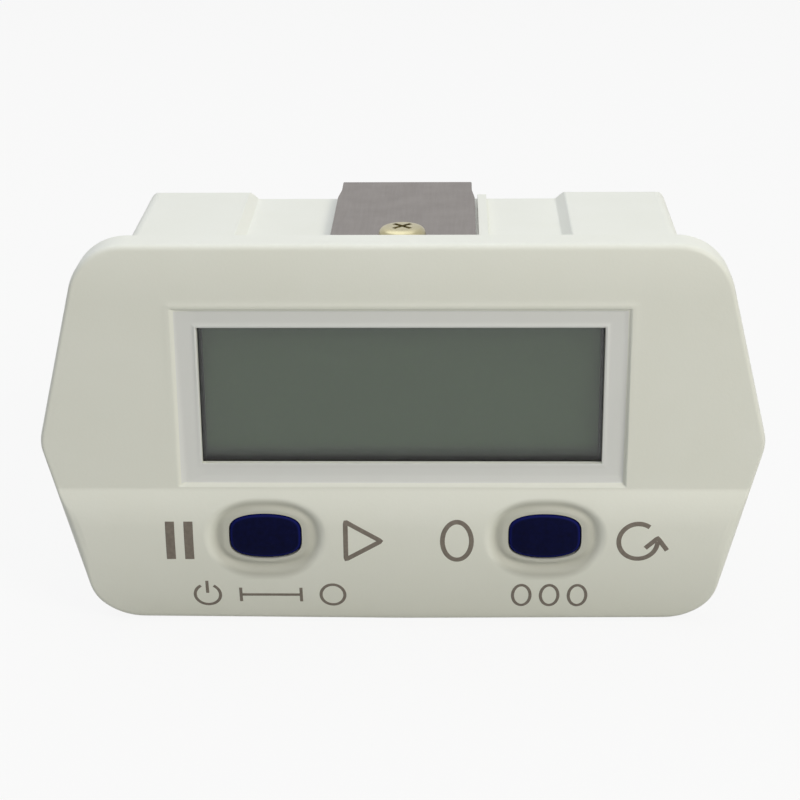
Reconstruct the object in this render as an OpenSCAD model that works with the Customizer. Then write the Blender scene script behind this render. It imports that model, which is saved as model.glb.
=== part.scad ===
// Battery counter for panel mounting: a hexagonal bezel with a display window and two buttons,
// and a box-shaped rear case that two steel clips hold against the back of the panel.
// X runs to the right, Y to the rear and Z up. The origin is the middle of the panel seat,
// which is the rear face of the bezel.

/* [Bezel] */
// Width across the two side points
bezel_w = 89; // [86:0.5:96]
// Height from bottom edge to top edge
bezel_h = 49.7; // [48.6:0.1:54]
// Width of the top edge, measured between its sharp corners
top_w = 77; // [75:0.5:82]
// Width of the bottom edge, measured between its sharp corners
bottom_w = 76.5; // [75:0.5:82]
// Bow of the bottom edge between its corners
foot_bow = 0.3; // [0.25:0.05:0.35]
// Height of the two side points
waist_z = -0.3; // [-4:0.1:2]
// Radius of the top and bottom corners
corner_r = 7; // [5:0.5:9]
// Radius at the side points
waist_r = 4.5; // [3:0.5:8]
// Thickness at the flat upper face
face_t = 5; // [4.8:0.1:5.6]
// Height over which the upper face rolls back to the top edge
crown_h = 6.5; // [4:0.5:7]
// Depth of that roll at the top edge
crown_d = 0.7; // [0.4:0.1:1]
// Depth at which the outer edge starts to round over
edge_start = 3.4; // [2.6:0.1:3.6]
// Distance that the rounded edge draws in
edge_in = 1.6; // [1.2:0.1:3]
// Depth of the cored pockets behind the two wings
pocket_d = 2.6; // [2:0.1:3]

/* [Chin] */
// Height of the crease between upper face and chin
crease_z = -6.2; // [-6.6:0.1:-6]
// How far the chin stands proud of the upper face
chin_proud = 1.2; // [1:0.1:1.5]
// Height of the chin's foremost line
chin_z = -11; // [-12:0.5:-10]
// Thickness of the bezel at the bottom edge
foot_t = 3.4; // [3:0.1:4]

/* [Display] */
// Width of the window opening
window_w = 49.2; // [46:0.2:50]
// Height of the window opening
window_h = 17.7; // [15:0.1:18]
// Height of the middle of the display
window_z = 5.8; // [5.6:0.1:6.1]
// Width of the recess around the window
recess_w = 55.1; // [53:0.1:56]
// Height of the recess around the window
recess_h = 22.6; // [21.6:0.1:22.8]
// Depth of the recess
recess_d = 0.9; // [0.5:0.1:1]
// Thickness of the clear window
lens_t = 1.4; // [1:0.1:1.5]
// Width by which the clear window laps the opening
lens_lap = 1.4; // [1:0.1:1.6]
// Depth of the locating pocket of the clear window
lens_pocket = 0.8; // [0.5:0.1:0.9]
// Width of the display glass
glass_w = 51.5; // [50.5:0.1:52]
// Height of the upper display glass
glass_h = 22; // [21.4:0.2:22.2]
// Thickness of one display glass
glass_t = 1.1; // [0.9:0.1:1.2]
// Thickness of a polarising or reflecting film
film_t = 0.2; // [0.1:0.05:0.3]
// Width of the contact ledge on the upper glass
ledge = 2.2; // [2:0.1:2.6]
// Wall of the display holder
holder_wall = 1.2; // [1:0.1:1.3]
// Thickness of the front lip of the display holder
lip_t = 0.6; // [0.4:0.1:0.7]

/* [Buttons] */
// Width of a button cap
button_w = 8.7; // [8.2:0.1:9.4]
// Height of a button cap
button_h = 5.7; // [5.2:0.1:6.2]
// Distance of a button from the middle between the two
button_x = 17.35; // [16.8:0.05:18.4]
// Distance of that middle to the right of the middle of the bezel
button_mid = 0.35; // [0:0.05:0.6]
// Height of the button centres
button_z = -12.3; // [-12.5:0.1:-12]
// Gap between a cap and its hole
button_gap = 0.2; // [0.15:0.05:0.3]
// Travel of a button
button_travel = 0.5; // [0.3:0.05:0.6]
// Thickness of the flange behind a cap
flange_t = 0.9; // [0.7:0.1:1]
// Width by which that flange laps the hole
flange_lap = 1; // [0.8:0.1:1.2]
// Width of the oval dish around a button
dish_w = 14.4; // [13.4:0.1:14.8]
// Height of the oval dish around a button
dish_h = 10.5; // [9.8:0.1:10.8]
// Depth of the dish below the chin's foremost line
dish_d = 1.1; // [0.8:0.05:1.2]
// Width of the collar around a button
collar_w = 1.3; // [1:0.1:1.5]
// Height of the collar above the floor of the dish
collar_h = 0.5; // [0.3:0.05:0.6]

/* [Rear case] */
// Width of the case
case_w = 70; // [69:0.2:71]
// Height of the case over its raised lands
case_h = 42.8; // [42.4:0.2:43.4]
// Depth of the case behind the panel seat
case_d = 34.3; // [33.8:0.1:38]
// Thickness of the side and rear walls
wall = 2.2; // [2:0.1:2.4]
// Depth of the clip channel between the lands
channel_d = 1.2; // [0.8:0.1:1.3]
// Thickness of the top and bottom walls in the channel
channel_wall = 1.4; // [1.2:0.1:1.5]
// Half width of the clip channel at its top
channel_x = 21.4; // [18:0.2:23]
// Radius of the four long edges
case_r = 1.6; // [1:0.1:2]
// Rounding of the rear edges
case_edge = 1.2; // [0.8:0.1:1.6]
// Depth by which the case sits in the bezel
case_seat = 2; // [1.6:0.1:2.1]
// Gap around the case in the bezel
case_gap = 0.12; // [0.08:0.02:0.2]
// Thickness of the bezel wall behind the upper face
skin = 2.2; // [2:0.1:2.4]

/* [Board and switches] */
// Position of the front of the circuit board
board_y = 4.5; // [4.4:0.1:4.8]
// Thickness of the circuit board
board_t = 1.6; // [1.2:0.2:1.6]
// Gap between the circuit board and the walls of the case
board_gap = 0.7; // [0.5:0.1:1.2]
// Width of a key switch
switch_w = 6; // [5.8:0.1:6.2]
// Height of a key switch without its plunger
switch_h = 3.5; // [3.2:0.1:3.7]
// Height of a key switch with its plunger
switch_top = 5; // [4.8:0.1:5.2]
// Diameter of a switch plunger
plunger_d = 3.4; // [3:0.1:3.6]
// Width of the sensor header
header_w = 6; // [5.6:0.2:7]
// Depth of the sensor header
header_d = 5.5; // [5:0.1:6.5]
// Height of the sensor header
header_h = 4.6; // [4.2:0.1:5]
// Wall of the sensor header
header_wall = 0.7; // [0.5:0.1:0.9]
// Spacing of the header pins
pin_pitch = 2; // [1.5:0.5:2]
// Thickness of a header pin
pin_d = 0.65; // [0.5:0.05:0.8]

/* [Batteries] */
// Diameter of a cell
cell_d = 10.3; // [10:0.1:10.5]
// Length of a cell with its button
cell_l = 44.5; // [44:0.1:45]
// Diameter of the button on a cell
nub_d = 3.6; // [3.2:0.1:3.8]
// Length of the button on a cell
nub_l = 1; // [0.8:0.1:1.2]
// Distance between the axes of the cells
cell_pitch = 11.1; // [10.9:0.1:11.2]
// Room around the cells in their bay
cell_gap = 0.3; // [0.2:0.1:0.4]
// Reach of a sprung contact leaf from its strip
leaf_reach = 4.95; // [4.4:0.05:5]
// Width of a battery contact
contact_w = 8.8; // [8:0.1:9.4]
// Wall of the bay
bay_wall = 1.4; // [1.2:0.1:1.5]
// Thickness of a contact strip
strip_t = 0.4; // [0.3:0.05:0.5]
// Width of a contact's solder tail
tail_w = 2; // [1.6:0.1:2.4]
// Length by which the door laps the bay at its closed end
door_lap = 1.8; // [1.7:0.1:2.4]
// Thickness of the battery door
door_t = 1.8; // [1.6:0.1:2]
// Width of the guide tongues on the door
tongue_w = 0.6; // [0.5:0.05:0.65]
// Thickness of the guide tongues on the door
tongue_t = 0.8; // [0.6:0.1:0.9]
// Gap around the door in its guides
door_gap = 0.15; // [0.1:0.05:0.2]

/* [Panel clips] */
// Width of a clip
clip_w = 18.4; // [18:0.2:20]
// Width of the tongue at its rear end
clip_tongue_w = 17.7; // [15:0.1:17.9]
// Thickness of the clip steel
clip_t = 1.2; // [1:0.1:1.5]
// Position of the front edge of a clip at rest
clip_front = 2.6; // [2.4:0.1:3]
// Position of the rear edge of a clip at rest
clip_rear = 38.4; // [36:0.2:39]
// Length of the sloping shoulder before the tongue
shoulder_l = 4; // [2:0.5:6]
// Length of the tongue behind the shoulder
tongue_l = 4; // [3:0.5:10]
// Distance that a clip can be pushed towards the bezel
clip_forward = 1.5; // [1:0.1:1.6]
// Distance that a clip can be drawn back
clip_back = 2.5; // [2:0.1:3]
// Gap around a clip on the case and under its screw
clip_gap = 0.1; // [0.05:0.05:0.15]
// Position of the clip screw
clip_screw_y = 8.1; // [8.1:0.1:9]
// Width of the guide rib on the right of a clip
rib_w = 1.2; // [0.8:0.1:1.6]
// Height of the guide rib
rib_h = 0.6; // [0.4:0.1:0.9]
// Where the guide ribs start behind the panel seat
rib_start = 5; // [4:0.5:8]

/* [Screws and grommet] */
// Diameter of a clip screw
clip_screw_d = 3; // [2.5:0.1:3]
// Diameter of a clip screw head
clip_head_d = 5.9; // [5:0.1:6]
// Height of a clip screw head
clip_head_h = 2.1; // [1.8:0.1:2.4]
// Diameter of a threaded insert
insert_d = 4.6; // [4.4:0.1:4.8]
// Length of a threaded insert
insert_l = 5.2; // [4.8:0.1:5.4]
// Diameter of a case screw
case_screw_d = 2.6; // [2.2:0.1:2.8]
// Length of a case screw under its head
case_screw_l = 10; // [9:0.5:10]
// Diameter of a case screw head
case_head_d = 4.8; // [4.4:0.1:5]
// Diameter of the access hole to a case screw
access_d = 5.4; // [5.2:0.1:5.5]
// Distance of the case screws from the side walls, inside
case_screw_in = 2.1; // [2:0.05:2.2]
// Distance of the case screws from the top and bottom walls, inside
case_screw_down = 2.8; // [2.7:0.05:2.9]
// Diameter of a board screw
board_screw_d = 2; // [1.7:0.1:2.1]
// Distance of the side board screws from the side walls, inside
board_screw_in = 3; // [2.9:0.1:3.2]
// Height of the side board screws
board_screw_z = 4; // [2:0.5:5]
// Distance of the lower board screws from the bottom wall, inside
board_screw_down = 3.5; // [3:0.1:3.6]
// Diameter of a board screw head
board_head_d = 3.8; // [3.4:0.1:4]
// Running gap of a screw in its hole
screw_gap = 0.1; // [0.05:0.05:0.15]
// Bore of the cable grommet
grommet_bore = 3.4; // [2.8:0.1:3.6]
// Diameter of the grommet hole in the case
grommet_hole = 6; // [5.6:0.1:6.4]
// Diameter of the grommet flanges
grommet_d = 8.4; // [8:0.1:9]
// Thickness of a grommet flange
grommet_t = 1.1; // [0.9:0.1:1.3]
// Position of the grommet behind the panel seat
grommet_y = 14; // [13:0.2:14.4]

/* [Hidden] */

// Smoothness of round exact surfaces
$fn = 48;
// Thickness of a layer inside a hull
thin = 0.02;
// Amount by which a cutter passes a face
past = 1;
// Hairline gap between pieces that bear on each other
touch = 0.05;
// Points in one rounded corner of an outline
corner_steps = 6;
// Points around an oval
oval_steps = 40;

// Bezel levels, counted as distance in front of the panel seat
nose_t = face_t + chin_proud;
floor_t = face_t - recess_d;
dish_floor_t = nose_t - dish_d;
collar_t = dish_floor_t + collar_h;
upper_cavity_t = face_t - skin;
chin_cavity_t = nose_t - skin - touch * 4;
chin_roof = crease_z - skin * 0.4;
half_h = bezel_h / 2;

// Outline of the bezel, with the side points moved out so that the rounded width is bezel_w
upper_lean = atan((bezel_w - top_w) / 2 / (half_h - waist_z));
lower_lean = atan((bezel_w - bottom_w) / 2 / (half_h + waist_z - foot_bow));
waist_half_angle = 90 - (upper_lean + lower_lean) / 2;
waist_x = bezel_w / 2 + waist_r * (1 / sin(waist_half_angle) - 1);
// The bowed bottom edge turns at its middle, with a large radius and its lowest point at half_h
bow_r = 400;
half_foot = bottom_w / 2;
bow_turn = (half_foot - sqrt(half_foot * half_foot - 2 * bow_r * foot_bow)) / bow_r;
bow_z = half_h + bow_r * bow_turn * bow_turn / 2;
bezel_corners = [
    [top_w / 2, half_h], [-top_w / 2, half_h], [-waist_x, waist_z], [-half_foot, foot_bow - half_h],
    [0, -bow_z], [half_foot, foot_bow - half_h], [waist_x, waist_z]
];
bezel_radii = [corner_r, corner_r, waist_r, corner_r, bow_r, corner_r, waist_r];

// Radii of the roll at the top of the face and of the chin
crown_r = (crown_h * crown_h + crown_d * crown_d) / (2 * crown_d);
chin_fall = nose_t - foot_t;
chin_span = half_h + chin_z;
chin_r = (chin_span * chin_span + chin_fall * chin_fall) / (2 * chin_fall);

// Case levels
case_x = case_w / 2;
land_z = case_h / 2;
channel_z = land_z - channel_d;
room_x = case_x - wall;
room_z = channel_z - channel_wall;
rear_in = case_d - wall;
board_w = 2 * (room_x - board_gap);
board_h = 2 * (room_z - board_gap);
case_screw_x = room_x - case_screw_in;
case_screw_z = room_z - case_screw_down;
// Width of the ledge in the bezel that the front edge of the case bears on
seat_ledge = 1.3;

// Display stack, from the clear window to the rear
lens_y = -upper_cavity_t - lens_pocket;
lip_y = lens_y + lens_t + touch;
film_y = lip_y + lip_t + touch;
glass_y = film_y + film_t;
rear_glass_y = glass_y + glass_t;
reflector_y = rear_glass_y + glass_t;
board_back = board_y + board_t;
holder_gap = 0.15;
holder_w = glass_w + 2 * (holder_gap + holder_wall);
holder_h = glass_h + 2 * (holder_gap + holder_wall);
peg_x = (holder_w - holder_wall) / 2;
peg_z = 4.5;
peg_d = 1;
zebra_w = 1.8;
zebra_z = glass_h / 2 - ledge / 2;

// Switches and buttons
plunger_y = board_y - switch_top;
plunger_end = board_y - switch_h + 1.4;
cap_back = -chin_cavity_t + touch;
hole_w = button_w + 2 * button_gap;
hole_h = button_h + 2 * button_gap;
pause_x = button_mid - button_x;
reset_x = button_mid + button_x;

// Place of the sensor header, beside the right key switch
header_at = [reset_x + 4.65, button_z + 1.9];

// Battery bay and door
door_y = case_d - door_t;
cell_y = door_y - door_gap - cell_gap - cell_d / 2;
bay_floor = cell_y - cell_d / 2 - cell_gap;
bay_z = cell_pitch / 2 + cell_d / 2 + cell_gap + touch;
bay_x = (cell_l + leaf_reach + 2 * strip_t + 3 * touch) / 2;
cell_x = bay_x - strip_t - 2 * touch - cell_l;
door_end = bay_x + door_lap;
door_z = bay_z + tongue_w;

// Clips and screws
clip_z = channel_z + clip_gap;
clip_top = clip_z + clip_t;
slot_w = clip_screw_d + 4 * screw_gap;
boss_d = insert_d + 2.4;
board_boss_d = 4.6;
insert_top = channel_z - touch;
case_head_y = board_back + 3;
case_boss_y = board_y + 2 * touch;
side_screw = [room_x - board_screw_in, board_screw_z];
low_screw = [(boss_d + board_boss_d) / 2 + 2.7, board_screw_down - room_z];
board_screw_places = [[-side_screw[0], side_screw[1]], side_screw, [-low_screw[0], low_screw[1]], low_screw];
case_screw_places = [for (sx = [-1, 1], sz = [-1, 1]) [sx * case_screw_x, sz * case_screw_z]];
case_post_d = 6.2;
case_tube_d = 7.4;

function unit(v) = v / norm(v);

// Points of a rounded corner at p, between its neighbours a and b, drawn in by d
function rounded_corner(a, p, b, r, d) =
    let (u = unit(a - p), v = unit(b - p), half = acos(u * v) / 2)
    let (c = p + unit(u + v) * r / sin(half))
    let (s = p + u * r / tan(half) - c, e = p + v * r / tan(half) - c)
    let (from = atan2(s[1], s[0]), turn = (atan2(e[1], e[0]) - from + 540) % 360 - 180)
    [for (i = [0:corner_steps]) let (a = from + turn * i / corner_steps) c + (r - d) * [cos(a), sin(a)]];

// Outline through corners, each rounded to its radius, drawn in by d
function rounded(corners, radii, d = 0) =
    let (n = len(corners))
    [for (i = [0:n - 1])
        each rounded_corner(corners[(i + n - 1) % n], corners[i], corners[(i + 1) % n], radii[i], d)];

// Oval whose sides are straighter as p and q grow
function oval(w, h, p, q) =
    [for (i = [0:oval_steps - 1]) let (c = cos(360 * i / oval_steps), s = sin(360 * i / oval_steps))
        [w / 2 * sign(c) * pow(abs(c), 2 / p), h / 2 * sign(s) * pow(abs(s), 2 / q)]];

// Barrel outline of a button, and the rounder outline of its dish
function barrel(w, h) = oval(w, h, 2.1, 3.8);
function dish_outline(w, h) = oval(w, h, 2.5, 2.2);

// Side profile of the bezel as (y, z) points
bezel_profile = concat(
    [[past, -half_h - past], [past, half_h + past], [crown_d - face_t, half_h + past]],
    [for (i = [8:-1:0]) let (h = crown_h * i / 8)
        [crown_r - sqrt(crown_r * crown_r - h * h) - face_t, half_h - crown_h + h]],
    [for (i = [0:7]) let (h = 1 - i / 8) [chin_proud * h * h - nose_t, chin_z + (crease_z - chin_z) * h]],
    [for (i = [0:12]) let (h = chin_span * i / 12)
        [chin_r - sqrt(chin_r * chin_r - h * h) - nose_t, chin_z - h]],
    [[-foot_t, -half_h - past]]
);

// Depth at which a boss at the place p meets the front wall of the bezel
function boss_root(p) = -touch - (p[1] > crease_z ? upper_cavity_t : chin_cavity_t);

// Outline of the case, grown by g
function case_outline(g) =
    let (x = case_x + g, z = land_z + g, c = channel_z + g, e = channel_x - g, f = channel_x - channel_d - g)
    rounded([
        [x, z], [e, z], [f, c], [-f, c], [-e, z], [-x, z],
        [-x, -z], [-e, -z], [-f, -c], [f, -c], [e, -z], [x, -z]
    ], [case_r, 0.4, 0.4, 0.4, 0.4, case_r, case_r, 0.4, 0.4, 0.4, 0.4, case_r]);

// Solid between two depths, from an outline in X and Z
module slab(y0, y1) {
    translate([0, y1, 0]) rotate([90, 0, 0]) linear_extrude(y1 - y0) children();
}

// Rectangle with its middle at height z
module panel(w, h, z = 0) {
    translate([-w / 2, z - h / 2]) square([w, h]);
}

// Box between two corners
module block(low, high) {
    translate(low) cube(high - low);
}

// Round bar along Y at the place p = [x, z]
module rod(p, y0, y1, d) {
    translate([p[0], y0, p[1]]) rotate([-90, 0, 0]) cylinder(h = y1 - y0, d = d);
}

// Copies on the four corners
module four_corners(x, z) {
    for (sx = [-1, 1], sz = [-1, 1]) translate([sx * x, 0, sz * z]) children();
}

// Copies for the upper and the lower clip
module both_clips() {
    children();
    mirror([0, 0, 1]) children();
}

module bezel_body() {
    intersection() {
        hull() {
            slab(-edge_start, 0) polygon(rounded(bezel_corners, bezel_radii));
            for (a = [25, 45, 60, 75, 90])
                slab(-edge_start - (nose_t - edge_start) * sin(a), -edge_start) {
                    polygon(rounded(bezel_corners, bezel_radii, edge_in * (1 - cos(a))));
                }
        }
        rotate([90, 0, 90]) translate([0, 0, -bezel_w]) linear_extrude(2 * bezel_w) polygon(bezel_profile);
    }
}

// Cored pockets in the two wings of the bezel, each crossed by two ribs
module wing_pockets() {
    rib = 1.2;
    rim = 2.4;
    band = 2;
    difference() {
        slab(-pocket_d, past) polygon(rounded(bezel_corners, bezel_radii, rim));
        slab(-pocket_d - past, 2 * past) panel(case_w + 2 * band, bezel_h);
        for (z = [-bezel_h / 6, bezel_h / 6])
            slab(-pocket_d - past, 2 * past) panel(bezel_w, rib, z);
    }
}

module button_dish(x) {
    translate([x, 0, button_z]) hull() {
        slab(-dish_floor_t - thin, -dish_floor_t)
            polygon(dish_outline(dish_w - dish_d * 2, dish_h - dish_d * 2));
        slab(-nose_t - dish_d, -nose_t - dish_d + thin)
            polygon(dish_outline(dish_w + dish_d * 2, dish_h + dish_d * 2));
    }
}

module button_collar(x) {
    translate([x, 0, button_z]) hull() {
        slab(-dish_floor_t, -dish_floor_t + thin)
            polygon(barrel(hole_w + 2 * collar_w, hole_h + 2 * collar_w));
        slab(-collar_t, -collar_t + thin) polygon(barrel(hole_w + collar_w, hole_h + collar_w));
    }
}

module front_bezel() {
    color("ivory") difference() {
        union() {
            difference() {
                bezel_body();
                slab(-case_seat, past) polygon(case_outline(case_gap));
                slab(-upper_cavity_t, 0) panel(case_w - 2 * seat_ledge, 2 * (channel_z - seat_ledge));
                block([-room_x, -chin_cavity_t, -room_z], [room_x, 0, chin_roof]);
                wing_pockets();
                hull() {
                    slab(-floor_t - thin, -floor_t)
                        panel(recess_w - 2 * recess_d, recess_h - 2 * recess_d, window_z);
                    slab(-face_t - recess_d, -face_t - recess_d + thin)
                        panel(recess_w + 2 * recess_d, recess_h + 2 * recess_d, window_z);
                }
                for (x = [pause_x, reset_x]) button_dish(x);
            }
            for (x = [pause_x, reset_x]) button_collar(x);
            intersection() {
                for (p = case_screw_places) rod(p, boss_root(p), case_boss_y, case_post_d);
                slab(-nose_t, case_d) panel(2 * (room_x - case_gap), 2 * (room_z - case_gap));
            }
            for (p = board_screw_places) rod(p, boss_root(p), board_y - touch, board_boss_d);
        }
        slab(-face_t, 0) panel(window_w, window_h, window_z);
        slab(-upper_cavity_t - lens_pocket, 0)
            panel(window_w + 2 * (lens_lap + touch), window_h + 2 * (lens_lap + touch), window_z);
        for (x = [pause_x, reset_x])
            translate([x, 0, button_z]) slab(-nose_t, 0) polygon(barrel(hole_w, hole_h));
        four_corners(case_screw_x, case_screw_z)
            rod([0, 0], case_head_y - case_screw_l - past, case_boss_y + past, case_screw_d + 2 * screw_gap);
        for (p = board_screw_places) rod(p, board_y - 4.5, board_y + past, board_screw_d + 2 * screw_gap);
    }
}

module window_lens() {
    color("lightcyan") slab(lens_y, lens_y + lens_t)
        panel(window_w + 2 * lens_lap, window_h + 2 * lens_lap, window_z);
}

// The lip's opening reaches below the window, because the display is read from above
module lcd_holder() {
    view_w = window_w - 0.8;
    view_low = window_z - window_h / 2 - 1;
    view_high = window_z + window_h / 2;
    color("dimgray") {
        difference() {
            slab(lip_y, board_y) panel(holder_w, holder_h, window_z);
            slab(film_y - touch, board_y + past)
                panel(glass_w + 2 * holder_gap, glass_h + 2 * holder_gap, window_z);
            block([-view_w / 2, lip_y - past, view_low], [view_w / 2, film_y, view_high]);
        }
        translate([0, 0, window_z]) four_corners(peg_x, peg_z)
            rod([0, 0], board_y - touch, board_back + 0.6, peg_d);
    }
}

module lcd_front_polariser() {
    color("darkseagreen") slab(film_y, glass_y) panel(glass_w - 1, glass_h - 1, window_z);
}

module lcd_front_glass() {
    color("lightblue") slab(glass_y, rear_glass_y) panel(glass_w, glass_h, window_z);
}

module lcd_rear_glass() {
    color("lightblue") slab(rear_glass_y, reflector_y) panel(glass_w, glass_h - 2 * ledge, window_z);
}

module lcd_reflector() {
    color("silver") slab(reflector_y, reflector_y + film_t)
        panel(glass_w - 1, glass_h - 2 * ledge - 1, window_z);
}

module zebra_strips() {
    color("hotpink") for (s = [-1, 1])
        slab(rear_glass_y, board_y) panel(glass_w - 2, zebra_w, window_z + s * zebra_z);
}

module main_board() {
    notch_x = case_screw_x - case_tube_d / 2 - 0.3;
    notch_z = case_screw_z - case_tube_d / 2 - 0.3;
    color("seagreen") difference() {
        slab(board_y, board_back) panel(board_w, board_h);
        four_corners(notch_x + board_w / 2, notch_z + board_h / 2)
            slab(board_y - past, board_back + past) panel(board_w, board_h);
        both_clips() slab(board_y - past, board_back + past)
            panel(boss_d + 1, board_h, room_z - insert_l - 0.4 + board_h / 2);
        for (p = board_screw_places) rod(p, board_y - past, board_back + past, board_screw_d + 4 * screw_gap);
        translate([0, 0, window_z]) four_corners(peg_x, peg_z)
            rod([0, 0], board_y - past, board_back + past, peg_d + 2 * screw_gap);
        for (s = [-1, 1]) translate([-bay_x + touch + strip_t / 2, 0, s * cell_pitch / 2])
            slab(board_y - past, board_back + past) panel(strip_t + 0.4, tail_w + 0.4);
        for (s = [-1, 1])
            rod(header_at + [s * pin_pitch / 2, 0], board_y - past, board_back + past, pin_d + 2 * screw_gap);
    }
}

module controller_blob() {
    blob_r = 8;
    blob_h = 1.6;
    color("black") intersection() {
        translate([0, board_back + blob_h - blob_r, 3]) sphere(r = blob_r);
        block([-blob_r, board_back, 3 - blob_r], [blob_r, board_back + blob_h, 3 + blob_r]);
    }
}

module clock_crystal() {
    crystal_d = 2;
    color("silver") translate([9, board_back + crystal_d / 2 + touch, 6]) rotate([0, 90, 0]) {
        cylinder(h = 6, d = crystal_d);
        for (s = [-1, 1]) translate([0, s * 0.4, -2]) cylinder(h = 2.2, d = 0.3);
    }
}

module chip_components() {
    chip = [2, 0.7, 1.25];
    color("sienna") for (i = [0:2], s = [-1, 1]) translate([-16 + 4 * i, board_back, s * 3.4 + 3] - chip / 2)
        translate([0, chip[1] / 2, 0]) cube(chip);
}

module sensor_header() {
    color("whitesmoke") translate([header_at[0], 0, header_at[1]]) difference() {
        slab(board_back, board_back + header_d) panel(header_w, header_h);
        slab(board_back + 2 * header_wall, board_back + header_d + past)
            panel(header_w - 2 * header_wall, header_h - 2 * header_wall);
        for (s = [-1, 1])
            rod([s * pin_pitch / 2, 0], board_back - past, board_back + header_d, pin_d + screw_gap);
    }
}

module header_pins() {
    color("gold") for (s = [-1, 1])
        rod(header_at + [s * pin_pitch / 2, 0], board_y - pin_d, board_back + header_d - header_wall, pin_d);
}

module switch_base(x) {
    cover_t = 0.3;
    color("black") difference() {
        translate([x, 0, button_z]) slab(board_y - switch_h + cover_t, board_y) panel(switch_w, switch_w);
        rod([x, button_z], board_y - switch_h - past, plunger_end + button_travel + 0.3,
            plunger_d + 4 * screw_gap);
    }
}

module switch_cover(x) {
    cover_t = 0.3;
    color("silver") difference() {
        translate([x, 0, button_z])
            slab(board_y - switch_h, board_y - switch_h + cover_t) panel(switch_w, switch_w);
        rod([x, button_z], board_y - switch_h - past, board_y, plunger_d + 4 * screw_gap);
    }
}

module switch_plunger(x) {
    color("dimgray") rod([x, button_z], plunger_y, plunger_end, plunger_d);
}

module key_cap(x) {
    rim_t = collar_t - 0.15;
    front_t = rim_t + 0.45;
    color("midnightblue") translate([x, 0, button_z]) {
        slab(-rim_t, cap_back) polygon(barrel(button_w, button_h));
        hull() {
            slab(-rim_t, -rim_t + thin) polygon(barrel(button_w, button_h));
            slab(-rim_t - 0.3, -rim_t) polygon(barrel(button_w - 0.7, button_h - 0.7));
            slab(-front_t, -rim_t) polygon(barrel(button_w - 2.6, button_h - 2.4));
        }
        slab(cap_back, cap_back + flange_t) polygon(barrel(hole_w + 2 * flange_lap, hole_h + 2 * flange_lap));
        rod([0, 0], cap_back, plunger_y - touch, plunger_d);
    }
}

module board_screws() {
    color("silver") for (p = board_screw_places) {
        rod(p, board_y - 4, board_back + touch, board_screw_d);
        difference() {
            rod(p, board_back, board_back + 1.4, board_head_d);
            for (a = [0, 90])
                translate([p[0], board_back + 1.1, p[1]]) rotate([0, a, 0])
                    cube([2.2, 1, 0.5], center = true);
        }
    }
}

// Outside of the case with its rear edges rounded, shared by the case and its door
module case_envelope() {
    intersection() {
        slab(-case_seat, case_d) polygon(case_outline(0));
        hull() for (a = [0, 30, 60, 90]) {
            draw_in = 2 * thin - 2 * case_edge * (1 - cos(a));
            slab(-case_seat - past, case_d - case_edge * (1 - sin(a)))
                panel(case_w + draw_in, case_h + draw_in);
        }
    }
}

// Opening that the battery door slides in, running out through the left side
module door_channel() {
    x = door_end + door_gap;
    y = door_y - door_gap;
    block([-case_w, y, -bay_z - door_gap], [x, case_d + past, bay_z + door_gap]);
    block([-case_w, y, -door_z - door_gap], [x, door_y + tongue_t + door_gap, door_z + door_gap]);
}

module rear_case() {
    tub_x = bay_x + bay_wall;
    tub_z = bay_z + bay_wall;
    divider = 0.5;
    color("ivory") difference() {
        union() {
            difference() {
                case_envelope();
                difference() {
                    block([-room_x, -case_seat - past, -room_z], [room_x, rear_in, room_z]);
                    block([-tub_x, bay_floor - bay_wall, -tub_z], [tub_x, case_d, tub_z]);
                    block([-case_w, rear_in - bay_wall, -tub_z], [door_end + bay_wall, case_d, tub_z]);
                    four_corners(case_screw_x, case_screw_z) rod([0, 0], case_boss_y, case_d, case_tube_d);
                    both_clips() translate([0, clip_screw_y, insert_top - insert_l])
                        cylinder(h = insert_l, d = boss_d);
                }
                block([-bay_x, bay_floor, -bay_z], [bay_x, case_d + past, bay_z]);
            }
            block([-bay_x, bay_floor - touch, -divider / 2], [bay_x, cell_y - cell_d / 4, divider / 2]);
            both_clips() translate([clip_w / 2 + 0.4, rib_start, channel_z - touch])
                cube([rib_w, case_d - rib_start, rib_h + touch]);
        }
        door_channel();
        four_corners(case_screw_x, case_screw_z) {
            rod([0, 0], case_boss_y - past, case_d, case_screw_d + 4 * screw_gap);
            rod([0, 0], case_head_y, case_d + past, access_d);
        }
        both_clips() translate([0, clip_screw_y, insert_top - insert_l - past])
            cylinder(h = case_h, d = insert_d + 2 * touch);
        for (s = [-1, 1]) translate([-bay_x + touch + strip_t / 2, 0, s * cell_pitch / 2])
            slab(bay_floor - bay_wall - past, bay_floor + past) panel(strip_t + 0.3, tail_w + 0.4);
        translate([room_x - past, grommet_y, 0])
            rotate([0, 90, 0]) cylinder(h = wall + 2 * past, d = grommet_hole);
    }
}

module case_screws() {
    head_h = 1.9;
    color("silver") four_corners(case_screw_x, case_screw_z) {
        rod([0, 0], case_head_y - case_screw_l, case_head_y + touch, case_screw_d);
        difference() {
            rod([0, 0], case_head_y, case_head_y + head_h, case_head_d);
            for (a = [0, 90])
                translate([0, case_head_y + head_h, 0]) rotate([0, a, 0])
                    cube([2.8, 1.6, 0.6], center = true);
        }
    }
}

module battery_door() {
    grip_pitch = 1.6;
    color("ivory") difference() {
        intersection() {
            case_envelope();
            union() {
                block([-case_w, door_y, -bay_z], [door_end, case_d + past, bay_z]);
                block([-case_w, door_y, -door_z], [door_end, door_y + tongue_t, door_z]);
            }
        }
        for (i = [0:5])
            translate([-case_x + 4 + grip_pitch * i, case_d, 0]) cube([0.7, 0.8, 12], center = true);
    }
}

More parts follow.
